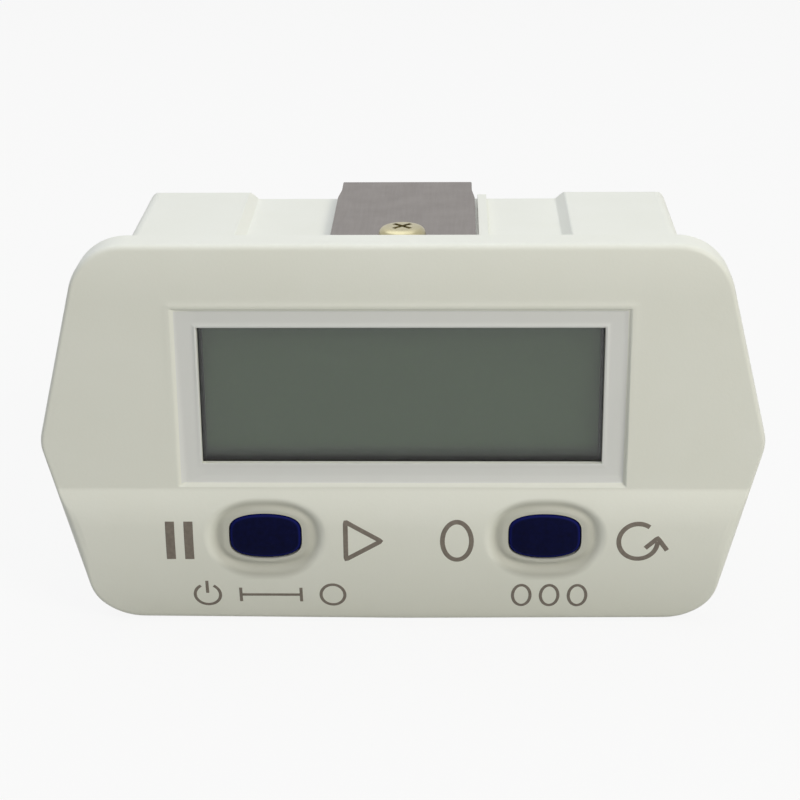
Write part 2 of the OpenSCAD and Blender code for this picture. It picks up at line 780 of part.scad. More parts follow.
// Cell along X, with its button towards +X
module cell() {
    shoulder = 0.6;
    rotate([0, 90, 0]) rotate_extrude() polygon([
        [0, 0], [cell_d / 2 - shoulder, 0], [cell_d / 2, shoulder], [cell_d / 2, cell_l - nub_l - shoulder],
        [cell_d / 2 - shoulder, cell_l - nub_l], [nub_d / 2, cell_l - nub_l], [nub_d / 2, cell_l], [0, cell_l]
    ]);
}

module battery_upper() {
    color("goldenrod") translate([cell_x, cell_y, cell_pitch / 2]) cell();
}

module battery_lower() {
    color("goldenrod") rotate([0, 180, 0]) translate([cell_x, cell_y, cell_pitch / 2]) cell();
}

// Contact plate at the right end of the bay, between two heights
module contact_plate(z0, z1) {
    block([bay_x - touch - strip_t, bay_floor + touch, z0], [bay_x - touch, door_y - 2 * door_gap, z1]);
}

// Bowed leaf that presses on the flat end of a cell
module contact_bow(z) {
    bow_w = 5;
    translate([bay_x - touch - strip_t, cell_y, z]) difference() {
        cylinder(h = bow_w, r = leaf_reach, center = true);
        cylinder(h = bow_w + past, r = leaf_reach - strip_t, center = true);
        translate([leaf_reach + strip_t / 2, 0, 0])
            cube([2 * leaf_reach, 3 * leaf_reach, bow_w + past], center = true);
    }
}

// Solder tail from a left contact through the floor of the bay to the board
module contact_tail(z) {
    translate([bay_x - touch - strip_t / 2, 0, z]) slab(board_y + 0.2, bay_floor + 1) panel(strip_t, tail_w);
}

module positive_contact() {
    color("silver") rotate([0, 180, 0]) {
        contact_plate((cell_pitch - contact_w) / 2, (cell_pitch + contact_w) / 2);
        contact_tail(cell_pitch / 2);
    }
}

module negative_contact() {
    color("silver") rotate([0, 180, 0]) {
        contact_plate(-(cell_pitch + contact_w) / 2, -(cell_pitch - contact_w) / 2);
        contact_bow(-cell_pitch / 2);
        contact_tail(-cell_pitch / 2);
    }
}

module bridge_contact() {
    color("silver") {
        contact_plate(-(cell_pitch + contact_w) / 2, -0.4);
        contact_plate(0.4, (cell_pitch + contact_w) / 2);
        translate([bay_x - touch - strip_t / 2, 0, 0])
            slab(cell_y - cell_d / 4 + touch, door_y - 2 * door_gap) panel(strip_t, 2);
        contact_bow(-cell_pitch / 2);
    }
}

module cable_grommet() {
    fit = 0.1;
    color("black") translate([room_x - touch, grommet_y, 0]) rotate([0, 90, 0]) rotate_extrude() polygon([
        [grommet_bore / 2, -grommet_t], [grommet_d / 2 - 0.4, -grommet_t], [grommet_d / 2, -grommet_t + 0.4],
        [grommet_d / 2, 0], [grommet_hole / 2 - fit, 0], [grommet_hole / 2 - fit, wall + 2 * touch],
        [grommet_d / 2, wall + 2 * touch], [grommet_d / 2, wall + grommet_t - 0.4],
        [grommet_d / 2 - 0.8, wall + grommet_t + 2 * touch], [grommet_bore / 2, wall + grommet_t + 2 * touch]
    ]);
}

// Flat clip with a long slot for its screw and sloping shoulders before the rear tongue
module clip() {
    tongue_y = clip_rear - tongue_l;
    translate([0, 0, clip_z]) difference() {
        linear_extrude(clip_t) polygon([
            [clip_w / 2, clip_front], [clip_w / 2, tongue_y - shoulder_l], [clip_tongue_w / 2, tongue_y],
            [clip_tongue_w / 2, clip_rear], [-clip_tongue_w / 2, clip_rear], [-clip_tongue_w / 2, tongue_y],
            [-clip_w / 2, tongue_y - shoulder_l], [-clip_w / 2, clip_front]
        ]);
        hull() for (y = [clip_screw_y - clip_back, clip_screw_y + clip_forward])
            translate([0, y, -past]) cylinder(h = clip_t + 2 * past, d = slot_w, $fn = 32);
    }
}

module top_clip() {
    color("dimgray") clip();
}

module bottom_clip() {
    color("dimgray") mirror([0, 0, 1]) clip();
}

module clip_screws() {
    head_z = clip_top + clip_gap;
    tip_z = insert_top - insert_l + 0.4;
    crown = clip_head_h * 0.34;
    color("silver") both_clips() translate([0, clip_screw_y, 0]) difference() {
        union() {
            translate([0, 0, tip_z]) cylinder(h = head_z - tip_z + touch, d = clip_screw_d);
            translate([0, 0, head_z]) rotate_extrude() polygon([
                [0, 0], [clip_head_d / 2, 0], [clip_head_d / 2, clip_head_h - crown],
                [clip_head_d / 2 - crown * 0.3, clip_head_h - crown * 0.3],
                [clip_head_d / 2 - crown, clip_head_h], [0, clip_head_h]
            ]);
        }
        for (a = [0, 90])
            rotate([0, 0, a + 20]) translate([0, 0, head_z + clip_head_h]) cube([3.2, 0.7, 2], center = true);
    }
}

module clip_inserts() {
    color("goldenrod") both_clips() translate([0, clip_screw_y, insert_top - insert_l]) difference() {
        cylinder(h = insert_l, d = insert_d);
        translate([0, 0, -past]) cylinder(h = insert_l + 2 * past, d = clip_screw_d + 2 * touch);
    }
}

front_bezel();
window_lens();
lcd_holder();
lcd_front_polariser();
lcd_front_glass();
lcd_rear_glass();
lcd_reflector();
zebra_strips();
main_board();
controller_blob();
clock_crystal();
chip_components();
sensor_header();
header_pins();
switch_base(pause_x);  // pause_switch_base
switch_cover(pause_x);  // pause_switch_cover
switch_plunger(pause_x);  // pause_switch_plunger
switch_base(reset_x);  // reset_switch_base
switch_cover(reset_x);  // reset_switch_cover
switch_plunger(reset_x);  // reset_switch_plunger
key_cap(pause_x);  // pause_button
key_cap(reset_x);  // reset_button
board_screws();
rear_case();
case_screws();
battery_door();
battery_upper();
battery_lower();
positive_contact();
negative_contact();
bridge_contact();
cable_grommet();
top_clip();
bottom_clip();
clip_screws();
clip_inserts();
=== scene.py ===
# %% [markdown]
# A battery counter for a machine panel. The engineering model gives every piece its place and its
# travel. This script gives the pieces their looks: the soft mouldings, the printed marks, the
# display and the metal. Sizes here are in millimetres and are turned into metres at the last moment.

# %% Load the frame
import math

import bmesh
import bpy
import numpy as np
from mathutils import Matrix, Vector


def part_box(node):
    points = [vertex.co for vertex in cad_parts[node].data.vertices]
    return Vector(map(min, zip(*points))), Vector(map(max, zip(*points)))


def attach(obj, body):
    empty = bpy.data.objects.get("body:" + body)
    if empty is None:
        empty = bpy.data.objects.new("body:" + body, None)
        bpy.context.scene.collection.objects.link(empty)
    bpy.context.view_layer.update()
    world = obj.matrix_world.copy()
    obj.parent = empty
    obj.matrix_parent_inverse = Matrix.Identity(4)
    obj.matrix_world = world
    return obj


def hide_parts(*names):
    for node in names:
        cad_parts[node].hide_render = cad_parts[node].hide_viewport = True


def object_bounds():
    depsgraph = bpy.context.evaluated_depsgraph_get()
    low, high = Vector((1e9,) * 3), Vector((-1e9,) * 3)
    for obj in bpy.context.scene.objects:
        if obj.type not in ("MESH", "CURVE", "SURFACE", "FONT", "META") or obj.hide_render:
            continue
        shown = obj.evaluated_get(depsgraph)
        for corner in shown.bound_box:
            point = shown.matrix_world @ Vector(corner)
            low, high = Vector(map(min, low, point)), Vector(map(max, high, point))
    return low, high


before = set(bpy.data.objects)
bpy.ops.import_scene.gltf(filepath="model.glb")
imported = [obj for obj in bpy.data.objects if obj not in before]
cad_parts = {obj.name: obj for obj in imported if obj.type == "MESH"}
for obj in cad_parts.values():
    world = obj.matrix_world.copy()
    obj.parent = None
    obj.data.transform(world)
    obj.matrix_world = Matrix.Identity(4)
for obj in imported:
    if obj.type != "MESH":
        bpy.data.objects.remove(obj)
cad_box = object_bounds()
scene = bpy.context.scene
MM = 0.001

# %% [markdown]
# The camera stands where the photographer stood: a little above the counter, almost square to it,
# with a long lens. The numbers come from matching the bezel's corners in the picture. The shift
# keeps the counter where it sits in the frame, and the roll is the slight tilt of the picture.

# %% Camera
VIEW_DISTANCE = 256.2
VIEW_RISE = math.radians(21.22)
VIEW_YAW = math.radians(-1.52)
VIEW_ROLL = math.radians(-0.51)
FOCAL_PIXELS = 2058
IMAGE_PIXELS = 800
AIM_PIXEL = (402.3, 427.7)

camera_data = bpy.data.cameras.new("camera")
camera_data.sensor_width = 36
camera_data.lens = FOCAL_PIXELS / IMAGE_PIXELS * camera_data.sensor_width
camera_data.shift_x = (IMAGE_PIXELS / 2 - AIM_PIXEL[0]) / IMAGE_PIXELS
camera_data.shift_y = (AIM_PIXEL[1] - IMAGE_PIXELS / 2) / IMAGE_PIXELS
camera_data.clip_start = 0.01
camera = bpy.data.objects.new("camera", camera_data)
scene.collection.objects.link(camera)
level = math.cos(VIEW_RISE)
away = Vector((-level * math.sin(VIEW_YAW), -level * math.cos(VIEW_YAW), math.sin(VIEW_RISE)))
aim = (-away).to_track_quat("-Z", "Y").to_matrix().to_4x4() @ Matrix.Rotation(VIEW_ROLL, 4, "Z")
camera.matrix_world = Matrix.Translation(away * VIEW_DISTANCE * MM) @ aim
scene.camera = camera
print("camera at", [round(c / MM, 1) for c in camera.location], "mm,",
      "lens", round(camera_data.lens, 1), "mm")

# %% [markdown]
# Colours are written the way a paint chart gives them, as sRGB hex values, and one function turns
# them into the linear light that Blender mixes. A second small function adds any node with its
# settings and links, so each material reads as a short list of what is plugged into what.

# %% Colour and node helpers
def linear(hex_colour):
    channels = [int(hex_colour[i:i + 2], 16) / 255 for i in (1, 3, 5)]
    return [c / 12.92 if c <= 0.04045 else ((c + 0.055) / 1.055) ** 2.4 for c in channels] + [1]


def add(tree, kind, inputs=None, **settings):
    node = tree.nodes.new(kind)
    for name, value in settings.items():
        setattr(node, name, value)
    for socket, value in (inputs or {}).items():
        if isinstance(value, bpy.types.NodeSocket):
            tree.links.new(value, node.inputs[socket])
        else:
            node.inputs[socket].default_value = value
    return node


def start_material(name, **sockets):
    made = bpy.data.materials.new(name)
    made.use_nodes = True
    shader = made.node_tree.nodes["Principled BSDF"]
    for socket, value in sockets.items():
        shader.inputs[socket.replace("_", " ")].default_value = value
    return made, made.node_tree, shader


def per_mm(size):
    """Noise scale whose spots are about this many millimetres across."""
    return 1 / (size * MM)


print("white is", [round(c, 3) for c in linear("#FFFFFF")])

# %% [markdown]
# The studio is a pale floor under a soft sky. A lamp overhead makes the case top brighter than the
# bezel. A second one stands in front on the right, so that the walls of the recess and the dishes
# show on their left. The floor and the sky look almost white to the camera, and to glossy and clear
# pieces, but light the counter plainly.

# %% Floor, sky and lamps
def paper_white(tree, lit, share):
    """Mixes a lit surface towards plain white for the rays that look at it."""
    path = add(tree, "ShaderNodeLightPath")
    seen = path.outputs["Is Camera Ray"]
    for ray in ("Is Glossy Ray", "Is Transmission Ray"):
        either = add(tree, "ShaderNodeMath", {0: seen, 1: path.outputs[ray]}, operation="MAXIMUM")
        seen = either.outputs[0]
    part = add(tree, "ShaderNodeMath", {0: seen, 1: share}, operation="MULTIPLY")
    white = add(tree, "ShaderNodeEmission", {"Color": linear("#FFFFFF"), "Strength": 1.0})
    mixed = add(tree, "ShaderNodeMixShader", {0: part.outputs[0], 1: lit, 2: white.outputs[0]})
    return mixed.outputs[0]


FLOOR_Z = cad_box[0].z
FLOOR_REACH = 3
FLOOR_WHITE, SKY_WHITE, SKY_STRENGTH = 0.9, 1.0, 0.26
# Matt paper, which takes a soft shadow and mirrors nothing.
paper, tree, shader = start_material("studio paper", Base_Color=linear("#C2C2BE"), Roughness=0.9)
tree.links.new(paper_white(tree, shader.outputs[0], FLOOR_WHITE),
               tree.nodes["Material Output"].inputs["Surface"])
floor_mesh = bpy.data.meshes.new("floor")
corners = [(x * FLOOR_REACH, y * FLOOR_REACH, FLOOR_Z)
           for x, y in ((-1, -1), (1, -1), (1, 1), (-1, 1))]
floor_mesh.from_pydata(corners, [], [(0, 1, 2, 3)])
floor_mesh.materials.append(paper)
floor = bpy.data.objects.new("floor", floor_mesh)
scene.collection.objects.link(floor)

scene.world = bpy.data.worlds.new("sky")
scene.world.use_nodes = True
tree = scene.world.node_tree
sky = tree.nodes["Background"]
sky.inputs["Color"].default_value = linear("#F7F8FA")
sky.inputs["Strength"].default_value = SKY_STRENGTH
tree.links.new(paper_white(tree, sky.outputs[0], SKY_WHITE),
               tree.nodes["World Output"].inputs["Surface"])


def lamp(name, place, size, watts, colour):
    light = bpy.data.lights.new(name, "AREA")
    light.size = size
    light.energy = watts
    light.color = linear(colour)[:3]
    holder = bpy.data.objects.new(name, light)
    holder.location = place
    holder.rotation_euler = (-Vector(place)).to_track_quat("-Z", "Y").to_euler()
    scene.collection.objects.link(holder)


lamp("overhead", (-0.06, 0.10, 0.50), size=0.60, watts=1.75, colour="#F2F6FF")
lamp("front right", (0.38, -0.44, 0.41), size=0.25, watts=2.45, colour="#FFFCF2")
scene.view_settings.view_transform = "Standard"
print("floor at", round(FLOOR_Z / MM, 1), "mm")

# %% [markdown]
# Bezel, case and door are the same off-white ABS. The mould was spark eroded, which leaves a fine
# even grain that breaks up the shine. The grain is drawn coarser than the real one, so that it shows,
# and a slow noise makes the shine uneven.

# %% Moulded plastics
def moulded(name, colour, second, roughness, grain, depth, shine=0.5, spot=9):
    made, tree, shader = start_material(name, Roughness=roughness, IOR=1.53, Specular_IOR_Level=shine)
    place = add(tree, "ShaderNodeTexCoord").outputs["Object"]
    slow = add(tree, "ShaderNodeTexNoise", {"Vector": place, "Scale": per_mm(spot), "Detail": 3.0})
    tint = add(tree, "ShaderNodeMix", {0: slow.outputs["Fac"], 6: linear(colour), 7: linear(second)},
               data_type="RGBA")
    fine = add(tree, "ShaderNodeTexNoise", {"Vector": place, "Scale": per_mm(grain), "Detail": 2.0})
    gloss = add(tree, "ShaderNodeMapRange",
                {0: slow.outputs["Fac"], 3: roughness - 0.06, 4: roughness + 0.08})
    bump = add(tree, "ShaderNodeBump",
               {"Height": fine.outputs["Fac"], "Distance": depth * MM, "Strength": 0.5})
    tree.links.new(tint.outputs[2], shader.inputs["Base Color"])
    tree.links.new(gloss.outputs[0], shader.inputs["Roughness"])
    tree.links.new(bump.outputs[0], shader.inputs["Normal"])
    return made


# Off-white with a trace of yellow-green, dull, and a little uneven from one centimetre to the next.
IVORY = dict(colour="#EAEBE2", second="#E6E7DC", roughness=0.50, grain=0.35, depth=0.02, shine=0.35)
ivory_abs = moulded("off-white moulded ABS", **IVORY)
# The frame round the window is polished in the mould, so it looks smoother and more neutral.
polished_abs = moulded("off-white polished ABS", "#E1E2E0", "#DDDEDB",
                       roughness=0.34, grain=0.80, depth=0.01, shine=0.35)
# Nearly black in the middle of a cap, with a speckled grain and hardly any shine.
navy_abs = moulded("navy moulded ABS", "#070920", "#0E123C",
                   roughness=0.55, grain=0.30, depth=0.04, shine=0.04, spot=0.7)
# Dull black, so that the surround of the display is lost in its own shade.
black_abs = moulded("black moulded ABS", "#0E0F10", "#131415",
                    roughness=0.60, grain=0.30, depth=0.02, shine=0.15)
# Milky, a little yellow, with a soft shine.
white_nylon = moulded("white nylon", "#E4E1D6", "#DAD6C8", roughness=0.40, grain=0.40, depth=0.02)
# Black with only a broad, weak shine.
black_rubber = moulded("black rubber", "#151515", "#1B1A19", roughness=0.72, grain=0.25, depth=0.03)
plastics = (ivory_abs, polished_abs, navy_abs, black_abs, white_nylon, black_rubber)
print("plastics:", [made.name for made in plastics])

# %% [markdown]
# The bezel is the same plastic, but the dishes round the buttons get painted shade: their colour is
# darkened where the hollows would lie in shade. The bezel's mesh will carry a number at each point
# that says how much painted shade lies there, and this material darkens with it.

# %% Bezel plastic with painted shade in the dishes
# The off-white of the case, painted greyer in the dishes as shade.
bezel_abs = moulded("off-white ABS with painted dish shade", **IVORY)
tree = bezel_abs.node_tree
shader = tree.nodes["Principled BSDF"]
unshaded = shader.inputs["Base Color"].links[0].from_socket
dish_shade = add(tree, "ShaderNodeAttribute", attribute_name="dish_shade").outputs["Fac"]
dish_shaded = add(tree, "ShaderNodeMix", {0: dish_shade, 6: unshaded, 7: linear("#C3C3B8")}, data_type="RGBA")
tree.links.new(dish_shaded.outputs[2], shader.inputs["Base Color"])
print("bezel plastic mixed from", len(tree.nodes), "nodes")

# %% [markdown]
# The rounded rim of a button gets a painted sheen, a clearer blue, on the places that don't face
# straight forward, so the direction of the surface says where it goes.

# %% Painted sheen on the rim of the buttons
tree = navy_abs.node_tree
shader = tree.nodes["Principled BSDF"]
cap_colour = shader.inputs["Base Color"].links[0].from_socket
FACES_FRONT, FULL_SHEEN = -0.985, -0.80
normal = add(tree, "ShaderNodeNewGeometry").outputs["Normal"]
facing = add(tree, "ShaderNodeSeparateXYZ", {0: normal})
# Painted sheen: the cap turns clear blue where its surface turns away from the front.
rim_sheen = add(tree, "ShaderNodeMapRange", {0: facing.outputs["Y"], 1: FACES_FRONT, 2: FULL_SHEEN})
sheen_colour = add(tree, "ShaderNodeMix", {0: rim_sheen.outputs[0], 6: cap_colour, 7: linear("#161C62")},
                 data_type="RGBA")
tree.links.new(sheen_colour.outputs[2], shader.inputs["Base Color"])
print("button colour mixed from", len(tree.nodes), "nodes")

# %% [markdown]
# The metals: dull plated strip for the clips, with the fine lines of rolling along its length, and
# bright or yellowish zinc on the screws. Stretched noise gives the lines, and a second noise dulls
# the plating in spots.

# %% Metals
DULL_SPOT, LINE_DEPTH = 3, 0.01


def plated(name, colour, darker, roughness, line, stretch):
    made, tree, shader = start_material(name, Metallic=1.0, Roughness=roughness)
    place = add(tree, "ShaderNodeTexCoord").outputs["Object"]
    along = add(tree, "ShaderNodeMapping", {"Vector": place, "Scale": stretch})
    lines = add(tree, "ShaderNodeTexNoise",
                {"Vector": along.outputs[0], "Scale": per_mm(line), "Detail": 4.0})
    spots = add(tree, "ShaderNodeTexNoise",
                {"Vector": place, "Scale": per_mm(DULL_SPOT), "Detail": 4.0})
    tint = add(tree, "ShaderNodeMix", {0: spots.outputs["Fac"], 6: linear(colour), 7: linear(darker)},
               data_type="RGBA")
    shine = add(tree, "ShaderNodeMapRange",
                {0: lines.outputs["Fac"], 3: roughness - 0.1, 4: roughness + 0.12})
    bump = add(tree, "ShaderNodeBump",
               {"Height": lines.outputs["Fac"], "Distance": LINE_DEPTH * MM, "Strength": 0.4})
    tree.links.new(tint.outputs[2], shader.inputs["Base Color"])
    tree.links.new(shine.outputs[0], shader.inputs["Roughness"])
    tree.links.new(bump.outputs[0], shader.inputs["Normal"])
    return made


# Grey-brown and dull, with faint lines along the strip.
clip_steel = plated("dull plated steel strip", "#837E7A", "#726D69",
                    roughness=0.52, line=0.5, stretch=(1, 0.06, 1))
# Pale yellow metal, with a highlight that spreads over the rounded head.
yellow_zinc = plated("yellow zinc plating", "#B8B190", "#989072",
                     roughness=0.34, line=0.4, stretch=(1, 1, 1))
# Light metal, a little cloudy.
bright_steel = plated("bright plated steel", "#C8C8C4", "#A9A9A6",
                      roughness=0.30, line=0.4, stretch=(1, 1, 1))
# Warm yellow metal with tool marks.
turned_brass = plated("turned brass", "#C9A45C", "#A88645",
                      roughness=0.32, line=0.3, stretch=(1, 1, 0.2))
print("metals:", [m.name for m in (clip_steel, yellow_zinc, bright_steel, turned_brass)])

# %% [markdown]
# The display is a sandwich. What the eye meets first is the clear acrylic window, then a grey-green
# polariser. The lower edge of the film lies in the shade of the frame, and a gradient along its
# height gives that. The glass behind it is plain, and the film at the back is a brushed reflector.

# %% Display materials
WINDOW_Z = 5.8
SMEAR, HAZE = 6, 14
# Clear, with sharp reflections that make the display lie behind something.
clear_acrylic, _, _ = start_material(
    "clear acrylic", Base_Color=linear("#F4F8F5"), Roughness=0.04, IOR=1.49, Transmission_Weight=1.0)
# Clear, with a green tinge.
display_glass, _, _ = start_material(
    "display glass", Base_Color=linear("#DCE5DC"), Roughness=0.03, IOR=1.52, Transmission_Weight=1.0)

for pane, least, most in ((clear_acrylic, 0.02, 0.07), (display_glass, 0.02, 0.05)):
    # Handling leaves faint smears, which show only as a slow change of the gloss.
    tree = pane.node_tree
    place = add(tree, "ShaderNodeTexCoord").outputs["Object"]
    smear = add(tree, "ShaderNodeTexNoise", {"Vector": place, "Scale": per_mm(SMEAR), "Detail": 3.0})
    gloss = add(tree, "ShaderNodeMapRange", {0: smear.outputs["Fac"], 3: least, 4: most})
    tree.links.new(gloss.outputs[0], tree.nodes["Principled BSDF"].inputs["Roughness"])

# Flat grey-green with little shine, dark along its lower edge.
polariser, tree, shader = start_material(
    "grey-green polariser", Roughness=0.45, IOR=1.5, Specular_IOR_Level=0.2)
place = add(tree, "ShaderNodeTexCoord").outputs["Object"]
height = add(tree, "ShaderNodeSeparateXYZ", {0: place}).outputs["Z"]
SHADE_LOW, SHADE_HIGH = WINDOW_Z - 9.6, WINDOW_Z - 6.6
shade = add(tree, "ShaderNodeMapRange", {0: height, 1: SHADE_LOW * MM, 2: SHADE_HIGH * MM},
            interpolation_type="SMOOTHSTEP")
haze = add(tree, "ShaderNodeTexNoise", {"Vector": place, "Scale": per_mm(HAZE), "Detail": 2.0})
film_colours = {0: haze.outputs["Fac"], 6: linear("#4A5845"), 7: linear("#4E5C49")}
film = add(tree, "ShaderNodeMix", film_colours, data_type="RGBA")
tone_colours = {0: shade.outputs[0], 6: linear("#0C0E0C"), 7: film.outputs[2]}
tone = add(tree, "ShaderNodeMix", tone_colours, data_type="RGBA")
tree.links.new(tone.outputs[2], shader.inputs["Base Color"])

# Pale grey metal with lines across the display.
reflector = plated("brushed reflector film", "#A9AFA4", "#9BA196",
                   roughness=0.40, line=0.4, stretch=(0.05, 1, 1))
print("display:", [m.name for m in (clear_acrylic, display_glass, polariser, reflector)])

# %% [markdown]
# The bezel is one moulding: a flat upper face that rolls back at the top, a crease, and a chin that
# swells towards the two buttons. It could be sculpted, but each form follows a rule, so the front is
# a height field: for every place on the front a function says how thick the moulding is there.
# First come the outline, a hexagon with rounded corners and a slightly bowed bottom edge, and the
# distance of any place from it.

# %% Bezel outline
BEZEL_W, BEZEL_H, TOP_W, BOTTOM_W, WAIST_Z, CORNER_R, WAIST_R = 89, 49.7, 77, 76.5, -0.3, 7, 4.5
FOOT_BOW, BOW_R = 0.3, 400
HALF_H, HALF_FOOT = BEZEL_H / 2, BOTTOM_W / 2


def rounded_outline(corners, radii, steps=18):
    corners = [np.array(c, float) for c in corners]
    points = []
    for i, p in enumerate(corners):
        u = corners[i - 1] - p
        v = corners[(i + 1) % len(corners)] - p
        u, v = u / np.linalg.norm(u), v / np.linalg.norm(v)
        half = math.acos(np.clip(u @ v, -1, 1)) / 2
        centre = p + (u + v) / np.linalg.norm(u + v) * radii[i] / math.sin(half)
        first = p + u * radii[i] / math.tan(half) - centre
        last = p + v * radii[i] / math.tan(half) - centre
        start = math.atan2(first[1], first[0])
        sweep = (math.atan2(last[1], last[0]) - start + math.pi) % (2 * math.pi) - math.pi
        for k in range(steps + 1):
            angle = start + sweep * k / steps
            points.append(centre + radii[i] * np.array([math.cos(angle), math.sin(angle)]))
    return np.array(points)


upper_lean = math.atan((BEZEL_W - TOP_W) / 2 / (HALF_H - WAIST_Z))
lower_lean = math.atan((BEZEL_W - BOTTOM_W) / 2 / (HALF_H + WAIST_Z - FOOT_BOW))
lean = (upper_lean + lower_lean) / 2
WAIST_X = BEZEL_W / 2 + WAIST_R * (1 / math.cos(lean) - 1)
bow_turn = (HALF_FOOT - math.sqrt(HALF_FOOT ** 2 - 2 * BOW_R * FOOT_BOW)) / BOW_R
top_corners = [(WAIST_X, WAIST_Z), (TOP_W / 2, HALF_H), (-TOP_W / 2, HALF_H), (-WAIST_X, WAIST_Z)]
top_radii = [WAIST_R, CORNER_R, CORNER_R, WAIST_R]
foot_z = FOOT_BOW - HALF_H
bow_z = -HALF_H - BOW_R * bow_turn ** 2 / 2
bezel_outline = rounded_outline(
    top_corners + [(-HALF_FOOT, foot_z), (0, bow_z), (HALF_FOOT, foot_z)],
    top_radii + [CORNER_R, BOW_R, CORNER_R])
straight_outline = rounded_outline(
    top_corners + [(-HALF_FOOT, -HALF_H), (HALF_FOOT, -HALF_H)], top_radii + [CORNER_R, CORNER_R])


def inside_distance(x, z):
    """Distance from each place to the outline, in millimetres."""
    nearest = np.full(x.shape, 1e9)
    for a, b in zip(bezel_outline, np.roll(bezel_outline, -1, axis=0)):
        along = b - a
        u, v = x - a[0], z - a[1]
        share = np.clip((u * along[0] + v * along[1]) / max(along @ along, 1e-12), 0, 1)
        nearest = np.minimum(nearest, np.hypot(u - share * along[0], v - share * along[1]))
    return nearest


side = straight_outline[straight_outline[:, 0] > 0]
side = side[np.argsort(side[:, 1])]


def half_width(z):
    return np.interp(z, side[:, 1], side[:, 0])


def bow_lift(x):
    """Rise of the bowed bottom edge at x over its lowest point."""
    reach = np.minimum(np.abs(x), HALF_FOOT)
    flank = FOOT_BOW - bow_turn * (HALF_FOOT - reach)
    return np.where(reach < BOW_R * bow_turn, reach ** 2 / (2 * BOW_R), flank)


print("outline points:", len(bezel_outline), "widest", round(bezel_outline[:, 0].max() * 2, 2), "mm")

# %% [markdown]
# Now the thickness. The side profile comes first, then the rounded outer edge, the recess round the
# window, whose frame leans inwards between a low bead and a rounded lip, and the oval dishes with a
# collar round each button.
# A soft minimum or maximum joins two forms with a small fillet, as the mould maker's cutter would
# leave it.

# %% Bezel thickness
FACE_T, NOSE_T, FOOT_T, EDGE_T, EDGE_IN, EDGE_R = 5.0, 6.2, 3.4, 3.4, 1.6, 0.65
CROWN_H, CROWN_D, CREASE_Z, CHIN_Z = 6.5, 0.7, -6.2, -11.0
RECESS_W, RECESS_H, RECESS_D, RECESS_TILT, WINDOW_W, WINDOW_H = 55.1, 23.0, 0.42, 0.018, 49.2, 17.7
RECESS_Z = WINDOW_Z - 0.2
WALL_TOP, WALL_FOOT, WALL_LEFT, WALL_RIGHT, LIP_H, LIP_IN = 4.5, 2.0, 0.8, 3.0, 0.16, 0.20
FRAME_SLOPE, FRAME_W, BEAD_H, BEAD_W = 0.07, 2.0, 0.10, 0.35
PAUSE_X, RESET_X, BUTTON_Z, BUTTON_W, BUTTON_H, BUTTON_GAP = -17.0, 17.7, -12.3, 8.7, 5.7, 0.2
DISH_W, DISH_H, DISH_D, COLLAR_W, COLLAR_H = 14.4, 10.5, 1.1, 1.3, 0.5
CREASE_SOFT, EDGE_FILLET, FRAME_FILLET, RECESS_FILLET = 0.15, 0.3, 0.2, 0.12
DISH_FILLET, DISH_EDGE_FILLET, COLLAR_FILLET, COLLAR_RUN = 0.5, 0.6, 0.3, 0.6
LIP_FOOT, LIP_GAIN = 0.3, 0.7
BUTTON_SQUARE, DISH_SQUARE = (2.1, 3.8), (2.5, 2.2)
DISH_FLOOR = NOSE_T - DISH_D
HOLE_W, HOLE_H = BUTTON_W + 2 * BUTTON_GAP, BUTTON_H + 2 * BUTTON_GAP
CROWN_R = (CROWN_H ** 2 + CROWN_D ** 2) / (2 * CROWN_D)
CHIN_SPAN = HALF_H + CHIN_Z
CHIN_R = (CHIN_SPAN ** 2 + (NOSE_T - FOOT_T) ** 2) / (2 * (NOSE_T - FOOT_T))


def soft_min(a, b, fillet):
    blend = np.clip(0.5 + (b - a) / (2 * fillet), 0, 1)
    return b + (a - b) * blend - fillet * blend * (1 - blend)


def soft_max(a, b, fillet):
    return -soft_min(-a, -b, fillet)


def oval_distance(x, z, width, height, p, q):
    """How far a place lies inside an oval with sides of squareness p and q."""
    reach = np.hypot(x, z) + 1e-9
    level = (np.abs(x) / (width / 2)) ** p + (np.abs(z) / (height / 2)) ** q
    return reach * ((level + 1e-12) ** (-1 / ((p + q) / 2)) - 1)


def side_profile(z):
    face = FACE_T - CROWN_R + np.sqrt(CROWN_R ** 2 - np.clip(z - HALF_H + CROWN_H, 0, CROWN_H) ** 2)
    swell = NOSE_T - (NOSE_T - FACE_T) * np.clip((z - CHIN_Z) / (CREASE_Z - CHIN_Z), 0, 1) ** 2
    foot = NOSE_T - CHIN_R + np.sqrt(CHIN_R ** 2 - np.clip(CHIN_Z - z, 0, CHIN_SPAN) ** 2)
    return np.where(z > CREASE_Z, face, np.where(z > CHIN_Z, swell, foot))


